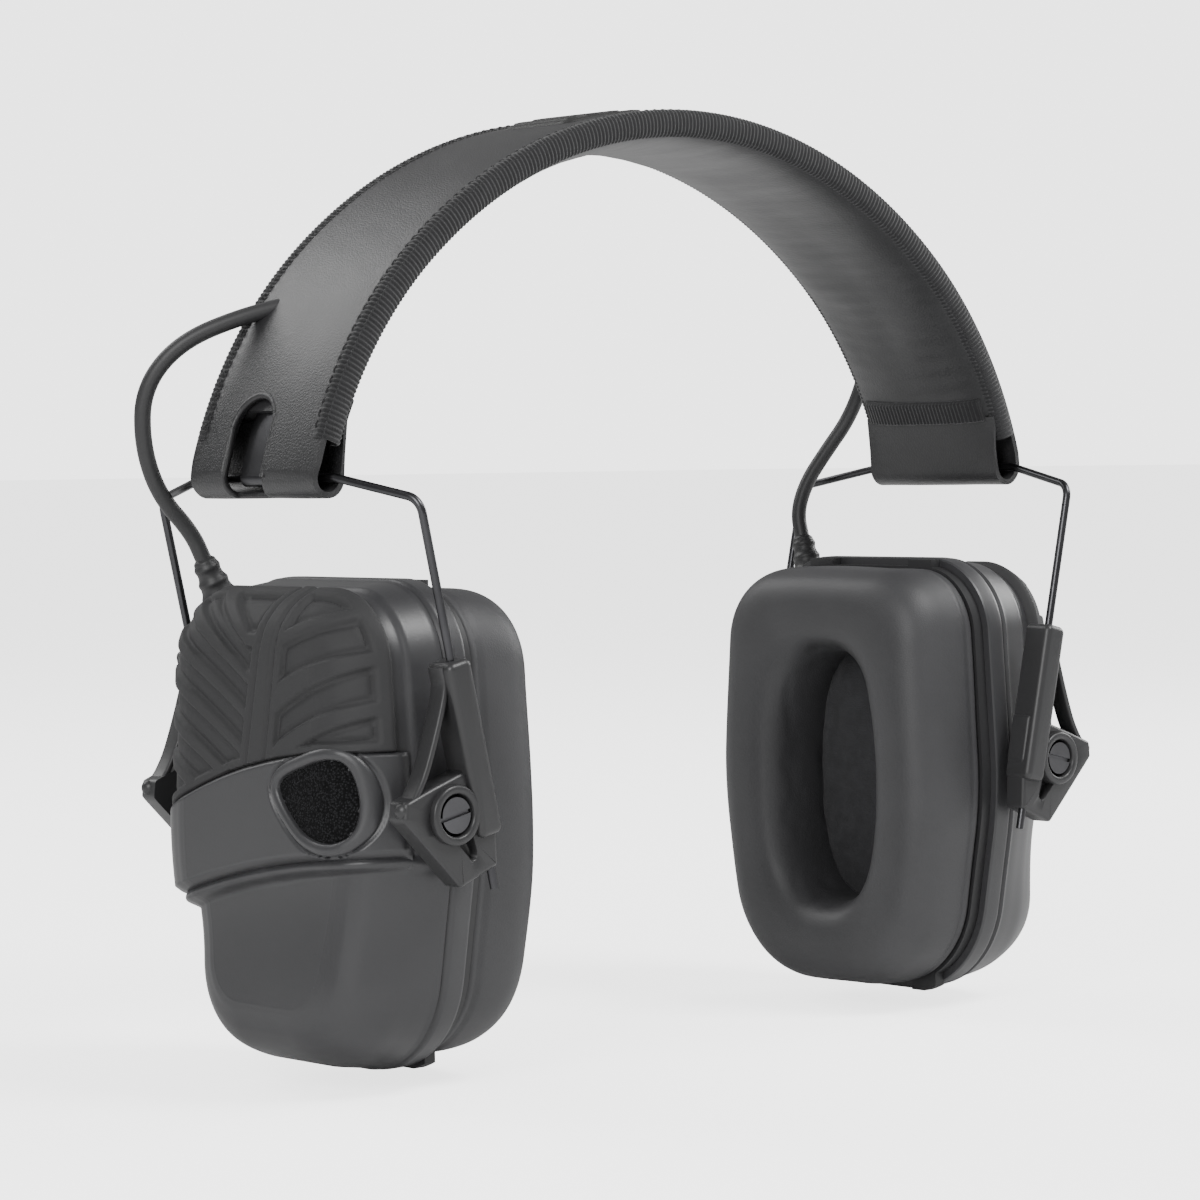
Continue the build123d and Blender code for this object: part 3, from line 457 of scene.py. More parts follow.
RECIPES = {
    leather: {
        "band_leather": ((0.022, 0.022, 0.023), 0.42, 0.8, 0.35, 0.10),
        "pad_leather": ((0.019, 0.019, 0.020), 0.40, 0.9, 0.25, 0.22),
        "cushion_leather": ((0.036, 0.036, 0.038), 0.52, 0.7, 0.18, 0.10),
    },
    woven: {
        "binding_tape": ((0.013, 0.013, 0.014), 0.8),
        "stitch_thread": ((0.014, 0.014, 0.015), 0.7),
        "liner_foam": ((0.022, 0.022, 0.024), 0.95),
    },
    moulded: {
        "crown_rubber": ((0.012, 0.012, 0.012), 0.6, 0.4, 0.35),
        "cable_rubber": ((0.022, 0.022, 0.023), 0.5, 0.5, 0.2),
        "clip_plastic": ((0.023, 0.023, 0.024), 0.42, 0.5, 0.25),
        "ring_plastic": ((0.019, 0.019, 0.020), 0.5, 0.5, 0.3),
        "shell_plastic": ((0.033, 0.033, 0.035), 0.4, 0.35, 0.35),
        "knob_plastic": ((0.017, 0.017, 0.019), 0.5, 0.5, 0.3),
        "tread_rubber": ((0.029, 0.029, 0.030), 0.66, 0.3, 0.5, 0.3),
        "inner_plastic": ((0.03, 0.03, 0.03), 0.5, 0.5, 0.3),
        "speaker_plastic": ((0.03, 0.03, 0.03), 0.5, 0.5, 0.3),
        "board_green": ((0.02, 0.12, 0.05), 0.35, 0.8, 0.2),
    },
    metal: {
        "spring_steel": ((0.07, 0.07, 0.074), 0.34),
        "screw_steel": ((0.10, 0.10, 0.105), 0.36),
        "cell_metal": ((0.6, 0.6, 0.62), 0.3),
        "contact_metal": ((0.6, 0.56, 0.45), 0.3),
    },
    open_foam: {"mic_foam": ((0.012, 0.012, 0.013),)},
}
MAT = {name: maker(name, *values) for maker, rows in RECIPES.items() for name, values in rows.items()}


def finish_nodes():
    """Every CAD node that is still shown gets its slot's finished material."""
    slots = {part["node"]: part["material_slot"] for part in frame["record"]["subparts"]}
    for name, node in frame["nodes"].items():
        node.data.materials.clear()
        node.data.materials.append(MAT[slots[name]])


# --- camera, floor and light ---
AZIMUTH, ELEVATION, ROLL = (math.radians(a) for a in (-42.5, 2.09, -0.74))
DISTANCE = 0.9
SHIFT_RIGHT, SHIFT_UP = -0.00791, -0.02692
LENS, SENSOR = 113.46, 36
AIM_BELOW_HINGE = 3.454


def add_camera():
    """Camera at the photo's viewing angle."""
    low, high = math.cos(ELEVATION), math.sin(ELEVATION)
    back = Vector((math.sin(AZIMUTH) * low, -math.cos(AZIMUTH) * low, high))
    level = Vector((math.cos(AZIMUTH), math.sin(AZIMUTH), 0))
    rise = back.cross(level)
    right = math.cos(ROLL) * level + math.sin(ROLL) * rise
    up = -math.sin(ROLL) * level + math.cos(ROLL) * rise
    aim = Vector((0, 0, (HINGE[2] - AIM_BELOW_HINGE) * MM))
    data = bpy.data.cameras.new("camera")
    data.lens = LENS
    data.sensor_width = SENSOR
    camera = bpy.data.objects.new("camera", data)
    turn = Matrix((right, up, back)).transposed().to_4x4()
    eye = aim + back * DISTANCE + right * SHIFT_RIGHT + up * SHIFT_UP
    camera.matrix_world = Matrix.Translation(eye) @ turn
    bpy.context.scene.collection.objects.link(camera)
    bpy.context.scene.camera = camera


def add_light(name, place_at, aim, size, power):
    data = bpy.data.lights.new(name, "AREA")
    data.size = size
    data.energy = power
    light = bpy.data.objects.new(name, data)
    direction = Vector(aim) - Vector(place_at)
    light.location = place_at
    light.rotation_euler = direction.to_track_quat("-Z", "Y").to_euler()
    bpy.context.scene.collection.objects.link(light)


FLOOR_GAP = 0.004
FLOOR_REACH = 40
FLOOR_GLOW, BACKDROP_GLOW, SOFT_LIGHT = 2.4, 3.17, 0.35
WHITE = (1, 1, 1, 1)
LIGHTS = (
    ("key", (0.35, -0.75, 0.95), 0.45, 16),
    ("front", (-1.0, -0.45, 0.35), 0.5, 9),
    ("back", (-0.3, 1.1, 0.8), 0.8, 9),
    ("right", (1.2, -0.1, 0.35), 0.5, 8),
)


def add_studio():
    """Pale floor and backdrop, soft light from all round and four lamps."""
    floor_z = CAD_BOX[0][2] - FLOOR_GAP
    mesh = bpy.data.meshes.new("floor")
    signs = ((-1, -1), (1, -1), (1, 1), (-1, 1))
    mesh.from_pydata([(a * FLOOR_REACH, b * FLOOR_REACH, floor_z) for a, b in signs], [], [(0, 1, 2, 3)])
    floor = bpy.data.objects.new("floor", mesh)
    bpy.context.scene.collection.objects.link(floor)
    material, shader = new_material("floor", (0.9, 0.9, 0.9), 0.9, 0.1)
    shader.inputs["Emission Color"].default_value = WHITE
    seen = add(material, "ShaderNodeLightPath")
    glow = add(material, "ShaderNodeMath", operation="MULTIPLY")
    glow.inputs[1].default_value = FLOOR_GLOW
    link(material, seen.outputs["Is Camera Ray"], glow.inputs[0])
    link(material, glow.outputs["Value"], shader.inputs["Emission Strength"])
    mesh.materials.append(material)
    world = bpy.data.worlds.new("studio")
    bpy.context.scene.world = world
    world.use_nodes = True
    soft = world.node_tree.nodes["Background"]
    soft.inputs["Color"].default_value = WHITE
    soft.inputs["Strength"].default_value = SOFT_LIGHT
    backdrop = add(world, "ShaderNodeBackground", Color=WHITE, Strength=BACKDROP_GLOW)
    seen = add(world, "ShaderNodeLightPath")
    mix = add(world, "ShaderNodeMixShader")
    link(world, seen.outputs["Is Camera Ray"], mix.inputs["Fac"])
    link(world, soft.outputs["Background"], mix.inputs[1])
    link(world, backdrop.outputs["Background"], mix.inputs[2])
    link(world, mix.outputs["Shader"], world.node_tree.nodes["World Output"].inputs["Surface"])
    for name, place_at, size, power in LIGHTS:
        add_light(name, place_at, (0, 0, -0.1), size, power)


# --- cup surface ---
CUP_CORNERS = np.array([[35.5, 54.0], [39.5, -4.0], [31.0, -54.0]])
CUP_ROUNDS = np.array([19.0, 90.0, 26.0])
DOME = np.array([[0.0, 0.0], [5.0, 0.0], [12.0, 0.9], [18.0, 2.0], [24.5, 5.0], [28.0, 9.0], [29.2, 12.8],
                 [29.48, 15.0], [29.5, 16.0]])
SKIN_START = 12.0
TREAD_EDGE = ((48.0, -6.0), (0.0, 14.2), (-48.0, 17.5))
BAND_EDGE = ((48.0, -26.0), (0.0, -11.5), (-48.0, -7.0))
MIC_OUTLINE = np.array([[-10.6, 10.2], [-19.6, 14.9], [-28.8, 16.2], [-32.0, 9.2], [-31.3, 1.6],
                        [-26.2, -1.2], [-17.6, 1.4]])


def rounded_outline(count):
    """Points and outward normals round the cup's outline, from the front bottom anticlockwise."""
    corners = np.vstack([CUP_CORNERS, CUP_CORNERS[::-1] * [-1, 1]])
    rounds = np.concatenate([CUP_ROUNDS, CUP_ROUNDS[::-1]])
    points, normals = [], []
    neighbours = zip(np.roll(corners, 1, 0), corners, np.roll(corners, -1, 0), rounds)
    for before, corner, after, radius in neighbours:
        a, b = unit(before - corner), unit(after - corner)
        half = math.acos(np.clip(a @ b, -1, 1)) / 2
        centre = corner + unit(a + b) * radius / math.sin(half)
        start = corner + a * radius / math.tan(half) - centre
        end = corner + b * radius / math.tan(half) - centre
        first, last = math.atan2(start[1], start[0]), math.atan2(end[1], end[0])
        sweep = (last - first + math.pi) % (2 * math.pi) - math.pi
        for angle in first + np.linspace(0, sweep, 40):
            normal = np.array([math.cos(angle), math.sin(angle)])
            points.append(centre + radius * normal)
            normals.append(normal)
    points, normals = np.array(points), np.array(normals)
    loop = np.vstack([points, points[:1]])
    length = np.concatenate([[0], np.cumsum(np.linalg.norm(np.diff(loop, axis=0), axis=1))])
    at = np.linspace(0, length[-1], count, endpoint=False)
    closed = np.vstack([normals, normals[:1]])
    out = np.stack([np.interp(at, length, loop[:, k]) for k in (0, 1)], 1)
    turn = np.stack([np.interp(at, length, closed[:, k]) for k in (0, 1)], 1)
    return out, unit(turn)


def cup_ring(x, flat):
    """Flat (y, z) points about the cup's middle, at x."""
    return np.column_stack([np.full(len(flat), x), flat[:, 0], CUP_Z + flat[:, 1]])


def cup_grid(profile_rows, flat_rows, columns):
    """Grid over the dome from rim to middle: points, normals and each row's distance from the rim."""
    outline, turn = rounded_outline(columns)
    profile = curve_through(DOME, profile_rows)
    rows, depth = [], []
    for out, inset in profile:
        rows.append(cup_ring(RIM_X + out, outline - turn * inset))
        depth.append(out)
    edge = rows[-1]
    middle = np.array([RIM_X + profile[-1][0], 0, CUP_Z])
    for step in np.linspace(0, 1, flat_rows + 1)[1:]:
        rows.append(edge + (middle - edge) * step * 0.995)
        depth.append(profile[-1][0] + step)
    grid = np.stack(rows)
    normals = surface_normals(grid, closed=True)
    normals *= np.sign(normals[len(profile) + 2, 0, 0])
    return grid, normals, np.array(depth)


FINE = cup_grid(90, 70, 760)
OUTLINE = rounded_outline(360)[0]
PROFILE = curve_through(DOME, 300)[100:]


def on_dome(spots, lift):
    """Lifts (y, z) spots on to the dome and off it along its normals."""
    def level(at):
        return np.interp(-polygon_distance(at, OUTLINE), PROFILE[:, 1], PROFILE[:, 0])

    step = 0.4
    base = level(spots)
    slope_y = (level(spots + [step, 0]) - level(spots - [step, 0])) / (2 * step)
    slope_z = (level(spots + [0, step]) - level(spots - [0, step])) / (2 * step)
    normal = unit(np.stack([np.ones(base.shape), -slope_y, -slope_z], -1))
    points = np.stack([RIM_X + base, spots[..., 0], CUP_Z + spots[..., 1]], -1)
    return points + normal * np.asarray(lift)[..., None]


def flat_place(grid):
    return grid[..., 1:] - np.array([0, CUP_Z])


def front_fade(place_at):
    """1 over the rear and middle of the cup, falling towards the front shoulder."""
    return 1 - smooth((-place_at[..., 0] - 16) / 18)


def recess(place_at):
    """How far the lower shell lies below the microphone band."""
    under = -arc_height(place_at, BAND_EDGE)
    end = 1 - smooth((-place_at[..., 0] - 28) / 14)
    return -(0.7 + 2.4 * end) * smooth((1.5 + under) / 2.5) * (1 - smooth((under - 3) / 34))


def rib(spot, reach, start, rise, bow, wide, narrow):
    """How far inside a curved rib that leaves the spine and tapers over its reach."""
    inside = np.clip(reach, 0, 1)
    middle = start + rise * inside ** bow
    half = wide + (narrow - wide) * inside
    return half - 0.8 * np.abs(spot[..., 1] - middle)


SPINE_BASE = 15.5
FRONT_RIBS = ((16.6, 12.4, 2.0, 1.3), (28.6, 11.0, 2.7, 1.0), (40.6, 9.0, 1.3, 0.8))
REAR_RIBS = (-3.0, 6.5, 16.0, 25.0, 33.5, 41.5)


def tread_height(spot):
    """Herringbone tread: a raised spine with strips beside it, ribs off both sides, and a border."""
    y, z = spot[..., 0], spot[..., 1]
    spine = -2.0 - (z - SPINE_BASE) * 0.185
    half = 3.1 - (z - SPINE_BASE) * 0.02
    away = np.abs(y - spine)
    inside = half + 2.6 - away
    front = np.where(y < spine, 0.0, -9.0)
    rear = np.where(y < spine, -9.0, 0.0)
    for start, rise, wide, narrow in FRONT_RIBS:
        inside = np.maximum(inside, front + rib(spot, (-y - 9) / 30, start, rise, 0.75, wide, narrow))
    for start in REAR_RIBS:
        inside = np.maximum(inside, rear + rib(spot, (y - 1) / 30, start, 17.5, 0.9, 1.2, 1.5))
    border = np.maximum(22.6 - FINE[2][:, None], 2.2 - arc_height(spot, TREAD_EDGE))
    inside = np.maximum(inside, border)
    raised = smooth(inside / 0.9 + 0.5)
    foot = np.exp(-((inside + 0.65) / 0.55) ** 2)
    line = np.exp(-((away - half) / 0.5) ** 2)
    return 0.7 + 0.9 * raised - 0.4 * foot + 0.2 * smooth((half - away) / 0.5 + 0.5) - 0.6 * line


TREAD_START = 18.5
TREAD_ROOT = -1.4
TREAD_EDGE_ROUND = 0.9


def tread(side):
    """Rubber skin over the upper cup; its edges roll down below the shell's surface."""
    points, normals, rim = FINE
    spot = flat_place(points)
    start = np.where(rim < TREAD_START, -1.0, np.interp(rim, [TREAD_START, TREAD_START + 2], [0, 2.5]))
    inside = np.minimum(np.minimum(arc_height(spot, TREAD_EDGE) + 0.35, 3.0), start[:, None])
    rise = TREAD_ROOT + (tread_height(spot) - TREAD_ROOT) * smooth(inside / TREAD_EDGE_ROUND) ** 0.6
    top = points + normals * rise[..., None]
    bottom = points + normals * (np.minimum(TREAD_ROOT, rise) - 0.6)[..., None]
    mesh = slab(top, bottom, closed=True, keep=inside > 0)
    make_piece(f"{side}_tread", mesh, f"{side}_cup", "tread_rubber", f"{side}_tread_pad")


def band_grid(rows, columns):
    """Grid over the dome between the band's two edges: from the rear rim to the front one."""
    outline, _ = rounded_outline(720)
    right = outline[outline[:, 0] > 0]
    right = right[np.argsort(right[:, 1])]
    flat_from = PROFILE[-1, 1]
    profile = PROFILE[PROFILE[:, 0] >= SKIN_START]
    side = int(rows * 0.28)
    pick = np.linspace(0, len(profile) - 1, side)
    out = np.interp(pick, np.arange(len(profile)), profile[:, 0])
    inset = np.interp(pick, np.arange(len(profile)), profile[:, 1])
    share = np.linspace(1, -1, rows - 2 * side + 2)[1:-1]
    v = np.linspace(0, 1, columns)[None, :]
    z = np.zeros((rows, columns))
    for _ in range(4):
        half = np.interp(z, right[:, 1], right[:, 0])
        rear = half[:side] - inset[:, None]
        front = -half[-side:] + inset[::-1, None]
        flat = (half[side:-side] - flat_from) * share[:, None]
        y = np.vstack([rear, flat, front])
        low, high = arc_level(y, BAND_EDGE), arc_level(y, TREAD_EDGE)
        z = low + (high - low) * v
    x = np.concatenate([out, np.full(len(share), PROFILE[-1, 0]), out[::-1]])
    grid = np.stack([np.broadcast_to(RIM_X + x[:, None], y.shape), y, CUP_Z + z], -1)
    normals = surface_normals(grid, closed=False)
    return grid, normals * np.sign(normals[rows // 2, 0, 0])


def mic_distance(spot):
    return polygon_distance(spot, MIC_CURVE)


def closed_curve(points, count):
    wrapped = np.vstack([points[-1:], points, points[:2]])
    return curve_through(wrapped, count * (len(points) + 2) // len(points) + 1)[count // len(points):][:count]


MIC_CURVE = closed_curve(MIC_OUTLINE, 140)
RING_WIDTH = 3.2


def band_height(spot):
    """The band stands proud, most at the rear."""
    return 1.5 + 0.5 * front_fade(spot)


def front_band(side):
    """Smooth band across the cup: hollow lower flank, crisp upper edge, seat for the microphone ring."""
    rows = 300
    grid, normals = band_grid(rows, 76)
    spot = flat_place(grid)
    above = arc_height(spot, BAND_EDGE)
    below = -arc_height(spot, TREAD_EDGE)
    flank = np.clip(above / 4.6, 0, 1)
    full = band_height(spot)
    low = recess(spot - [0, 2.5]) - 0.7
    hollow = 0.22 * flank + 0.78 * flank ** 2.4
    rise = low + (full - low) * hollow * (flank < 1) + (full - low) * (flank >= 1)
    rise = rise - 0.9 * np.exp(-(below / 0.45) ** 2)
    rise = rise - 0.8 * smooth((RING_WIDTH + 0.25 - mic_distance(spot)) / 0.5)
    ends = np.minimum(np.arange(rows), np.arange(rows)[::-1])[:, None]
    rise = rise * smooth(ends / 8 + 0.1)
    top = grid + normals * rise[..., None]
    bottom = grid + normals * (np.minimum(rise, low) - 0.5)[..., None]
    make_piece(f"{side}_front_band", slab(top, bottom), f"{side}_cup", "shell_plastic", f"{side}_mic_band")


def mic_surround(side):
    """Raised smooth ring round the wind foam."""
    across = np.array([-0.2, -0.1, 0.1, 0.3, 0.7, 1.2, 1.7, 2.1, 2.4, 2.65, 2.8, RING_WIDTH - 0.4])
    lift = np.array([-2.0, -1.2, -0.5, -0.05, 0.25, 0.4, 0.38, 0.25, 0.05, -0.25, -0.6, -1.4])
    fine = curve_through(np.column_stack([across, lift]), 44)
    turn = np.gradient(np.vstack([MIC_CURVE[-1:], MIC_CURVE, MIC_CURVE[:1]]), axis=0)[1:-1]
    normal = unit(np.column_stack([turn[:, 1], -turn[:, 0]]))
    normal *= np.sign((normal * (MIC_CURVE - MIC_CURVE.mean(0))).sum())
    spots = MIC_CURVE[None] + normal[None] * fine[:, 0, None, None]
    height = band_height(spots) + fine[:, 1, None]
    top = on_dome(spots, height)
    bottom = on_dome(spots, np.minimum(height, 0.0) - 1.2)
    mesh = slab(top, bottom, closed=True)
    make_piece(f"{side}_mic_surround", mesh, f"{side}_cup", "shell_plastic", f"{side}_mic_ring")


def wind_foam(side):
    """Coarse foam plug, slightly domed, sunk in the ring."""
    centre = MIC_CURVE.mean(0)
    share = np.linspace(1.0, 0.02, 42)[:, None, None]
    spots = centre + (MIC_CURVE[None] - centre) * share
    spots3 = np.dstack([spots, spots[..., :1] * 0.7])
    fullness = 0.45 * (1 - share[..., 0] ** 3)
    height = band_height(spots) - 0.75 + fullness + 0.1 * waves(spots3, 5, 1.5, 2)
    top = on_dome(spots, height)
    bottom = on_dome(spots, np.full(height.shape, -1.0))
    mesh = slab(top, bottom, closed=True, capped=True)
    make_piece(f"{side}_wind_foam", mesh, f"{side}_cup", "mic_foam", f"{side}_mic_foam")


def shell_piece(side):
    """The moulded cup: domed, with a grooved rim and a lower part that steps in under the band."""
    points, normals, depth = FINE
    spot = flat_place(points)
    depth = depth[:, None]
    rise = recess(spot) * smooth((depth - 6.5) / 13)
    groove = 0.35 - 1.0 * np.exp(-((depth - 5.9) / 0.4) ** 2)
    rise = rise + groove * (depth < 7.5) * smooth((7.5 - depth) / 0.8)
    under = smooth(arc_height(spot, BAND_EDGE) - 2) * smooth((depth - SKIN_START - 2) / 2)
    rise = rise - 0.8 * under
    rise = rise - 1.5 * smooth(-mic_distance(spot) / 1.0)
    if side == "right":
        rise = rise - 1.6 * smooth((0.35 - door_distance(spot)) / 0.3)
    top = points + normals * rise[..., None]
    bottom = points + normals * (rise - 2.0)[..., None]
    top[0] = points[0] + normals[0] * 0.1
    mesh = slab(top, bottom, closed=True)
    make_piece(f"{side}_shell", mesh, f"{side}_cup", "shell_plastic", f"{side}_cup_shell")


def door_distance(spot):
    """Signed distance to the battery door's outline, positive outside."""
    half, low, corner = 25.5, -45.5, 9.0
    centre = np.array([0, (low + 20) / 2])
    q = np.abs(spot - centre) - np.array([half - corner, (20 - low) / 2 - corner])
    box_distance = np.linalg.norm(np.maximum(q, 0), axis=-1) + np.minimum(q.max(-1), 0) - corner
    return np.maximum(box_distance, arc_height(spot, BAND_EDGE) + 0.35)


def battery_door():
    """Door over the cells: follows the lower shell, with a finger grip and a hinge barrel."""
    half, low, corner = 25.2, -45.2, 9.0
    u = np.linspace(-1, 1, 150)[:, None]
    v = np.linspace(0, 1, 110)[None, :]
    y = half * np.sin(u * math.pi / 2 * 0.999)
    over = np.maximum(np.abs(y) - (half - corner), 0)
    floor = low + corner - np.sqrt(np.maximum(corner ** 2 - over ** 2, 0))
    ceiling = arc_level(y, BAND_EDGE) - 0.75
    z = floor + (ceiling - floor) * v
    spots = np.stack([np.broadcast_to(y, z.shape), z], -1)
    edge = np.minimum(-door_distance(spots), 2.0)
    ribs = 0.4 * smooth(np.cos(z * 2 * math.pi / 2.4) + 0.4)
    grip = smooth((z + 30) / 1.5) * smooth((-21 - z) / 1.5) * smooth((9 - np.abs(y)) / 1.5)
    height = recess(spots) - 0.1 - 0.6 * smooth(1 - edge / 0.9) - 0.5 * grip + ribs * grip
    top = on_dome(spots, height)
    bottom = on_dome(spots, recess(spots) - 1.5)
    axis = np.array(JOINTS["battery_cover"]["pos_m"]) / MM
    barrel = turned_on_y(axis[0], axis[2], (-12.0, -11.7, 11.7, 12.0), [0.8, 1.1, 1.1, 0.8], 24)
    mesh = joined([slab(top, bottom), barrel])
    make_piece("right_battery_door", mesh, "door", "shell_plastic", "battery_door")


# --- cushions and what fills them ---
EAR_HALF = (16.0, 31.0)
CUSHION_SECTION = ((0.05, 0.0), (0.005, 0.05), (-0.005, 0.2), (0.0, 0.45), (0.03, 0.66), (0.1, 0.83),
                   (0.2, 0.93), (0.33, 0.985), (0.46, 1.0), (0.6, 0.995), (0.72, 0.97), (0.83, 0.91),
                   (0.92, 0.79), (0.975, 0.62), (1.0, 0.4), (1.0, 0.18), (0.98, 0.0))


def ear_outline(count, grow=0.0):
    """Oval ear hole with straightened sides, sampled to match the cup's outline."""
    outline, _ = rounded_outline(count)
    angle = np.arctan2(outline[:, 1] / 54, outline[:, 0] / 39.5)
    c, s = np.cos(angle), np.sin(angle)
    power = 2 / 2.5
    return np.column_stack([(EAR_HALF[0] + grow) * np.sign(c) * np.abs(c) ** power,
                            (EAR_HALF[1] + grow) * np.sign(s) * np.abs(s) ** power])


def cushion(side):
    """Foam ring in soft leatherette: full rounded outer edge, gentle slope into the ear hole."""
    columns = 260
    outline, turn = rounded_outline(columns)
    outer = outline - turn * 2.0
    inner = ear_outline(columns)
    tall = CUSHION_HIGH[0] - CUSHION_LOW[0]
    section = curve_through(CUSHION_SECTION, 70)
    grid = np.stack([cup_ring(CUSHION_HIGH[0] - tall * up, outer + (inner - outer) * across)
                     for across, up in section])
    normals = surface_normals(grid, closed=True)
    normals *= -np.sign(normals[30, 0, 0])
    seam = np.exp(-((section[:, 1] - 0.12) / 0.03) ** 2) * (section[:, 0] < 0.1)
    lip = np.exp(-((section[:, 0] - 0.96) / 0.05) ** 2)
    creases = np.maximum(waves(grid * [1, 1, 0.35], 11, 9, 2), 0)
    lift = 0.28 * waves(grid, 3, 34, 2) - 0.4 * seam[:, None] - 0.5 * lip[:, None] * creases
    grid = grid + normals * lift[..., None]
    faces = grid_faces(*grid.shape[:2], closed=True)
    last = (len(grid) - 1) * columns
    faces += [(last + j, last + (j + 1) % columns, (j + 1) % columns, j) for j in range(columns)]
    mesh = grid.reshape(-1, 3), faces
    piece = make_piece(f"{side}_cushion", mesh, f"{side}_cup", "cushion_leather", f"{side}_ear_cushion")


def liner(side):
    """Cloth-faced foam seen inside the ear hole, slightly full in the middle."""
    columns, steps = 160, 30
    edge = ear_outline(columns, 5.5)
    face_x = RIM_X - 2.9
    top = np.stack([cup_ring(face_x - 2.2 * (1 - t ** 2.5), edge * t) for t in np.linspace(1, 0.02, steps)])
    top[..., 0] += 0.35 * waves(top * [1, 0.4, 1], 23, 6, 3)
    bottom = top.copy()
    bottom[..., 0] = RIM_X + 5
    mesh = slab(top, bottom, closed=True, capped=True)
    piece = make_piece(f"{side}_liner", mesh, f"{side}_cup", "liner_foam", f"{side}_foam_liner")


# --- band pieces ---
WINDOW_TOP = math.radians(65.5)
WINDOW_WIDTH = 14.0
WINDOW_OFFSET = 3.0


def end_path(steps):
    """The leather's outer face round a hinge loop and back up to the pad's end, right side, in (x, z)."""
    centre = HINGE[[0, 2]]
    outward = np.array([math.sin(HINGE_ANGLE), math.cos(HINGE_ANGLE)])
    up = np.array([-outward[1], outward[0]])
    turn = np.linspace(0, math.pi, steps)
    loop = [centre + LOOP_RADIUS * (math.cos(a) * outward - math.sin(a) * up) for a in turn]
    pad_out = np.array([math.sin(PAD_END), math.cos(PAD_END)])
    flap_end = SIDE_CENTRE + (SIDE_RADIUS - BAND_THICKNESS) * pad_out
    flap = [loop[-1] + (flap_end - loop[-1]) * t for t in np.linspace(0, 1, 8)[1:]]
    return np.array(loop + flap)


def band_cover():
    """Outer leather from flap to flap, slightly full over the padding, with its windows cut."""
    across = np.linspace(-1, 1, 61)
    end = band_length(HINGE_ANGLE)
    arc = np.linspace(-end, end, 420)
    arc_path = band_points(arc, 0.0, 0.0)[:, [0, 2]]
    right = end_path(16)[1:]
    left = (right * [-1, 1])[::-1]
    path = np.vstack([left, arc_path, right])
    tangent = unit(np.gradient(path, axis=0))
    normal = np.column_stack([-tangent[:, 1], tangent[:, 0]])
    is_end = np.zeros(len(path))
    is_end[:len(left)] = 1
    is_end[-len(right):] = 1
    half = BAND_HALF + (LOOP_HALF - BAND_HALF) * np.convolve(is_end, np.ones(9) / 9, "same")
    y = across[None, :] * half[:, None]
    blank = np.zeros(y.shape)
    flat = np.stack([path[:, :1] + blank, y, path[:, 1:] + blank], -1)
    outward = np.stack([normal[:, :1] + blank, blank, normal[:, 1:] + blank], -1)
    full = (1 - is_end)[:, None] * 0.5 * (1 - np.abs(across) ** 4)[None, :]
    uneven = 0.16 * waves(flat * [1, 0.6, 1], 17, 30, 3)
    rows_from_end = np.minimum(np.arange(len(path)), np.arange(len(path))[::-1])
    flap = np.clip(1 - rows_from_end / 7, 0, 1)[:, None]
    full = full - 2.6 * flap * (np.abs(across) ** 4)[None, :]
    top = flat + outward * (full + uneven * (1 - np.abs(across) ** 6)[None, :])[..., None]
    bottom = flat + outward * (full * flap - COVER_WALL * 0.92)[..., None]
    piece = make_piece("band_leather", slab(top, bottom), None, "band_leather", "headband_cover")
    for side in (1, -1):
        cut_window(piece, side)
    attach(piece, "headband")
    for side in ("right", "left"):
        window_rim(side)


def window_frame():
    """The end of the band's own directions, and the window's ends along it."""
    outward = np.array([math.sin(HINGE_ANGLE), 0, math.cos(HINGE_ANGLE)])
    up = np.array([-outward[2], 0, outward[0]])
    top = band_points(band_length(WINDOW_TOP), 0.0, 0.0)
    high = (top - HINGE) @ up
    return outward, up, high, -LOOP_RADIUS - WINDOW_WIDTH / 4


def window_outline(grow, count=48):
    """Oval in (y, height along the band), from the loop up."""
    _, _, high, low = window_frame()
    radius = WINDOW_WIDTH / 2
    spots = []
    for centre, start in ((high - radius, 0.0), (low + radius, math.pi)):
        for angle in start + np.linspace(0, math.pi, count // 2):
            across, up = (radius + grow) * math.cos(angle), (radius + grow) * math.sin(angle)
            spots.append((WINDOW_OFFSET + across, centre + up))
    return np.array(spots)


def cut_window(piece, side):
    """Cuts the oval window through the leather near one loop; side is 1 at the right, -1 at the left."""
    outward, up, _, _ = window_frame()
    spots = window_outline(0.0)
    inner = np.array([HINGE + outward * -0.2 + up * h + np.array([0, y, 0]) for y, h in spots])
    outer = inner + outward * 12
    count = len(spots)
    faces = [tuple(range(count)), tuple(reversed(range(count, 2 * count)))]
    faces += [(j, j + count, (j + 1) % count + count, (j + 1) % count) for j in range(count)]
    verts = np.vstack([inner, outer]) * [side, 1, 1]
    mesh = verts, faces
    cutter = make_piece("window_cutter", mesh, None, None, material="band_leather", smooth_faces=False)
    boolean = piece.modifiers.new("window", "BOOLEAN")
    boolean.object = cutter
    boolean.operation = "DIFFERENCE"
    boolean.solver = "EXACT"
    graph = bpy.context.evaluated_depsgraph_get()
    cut = bpy.data.meshes.new_from_object(piece.evaluated_get(graph))
    piece.modifiers.clear()
    piece.data = cut
    bpy.data.objects.remove(cutter)


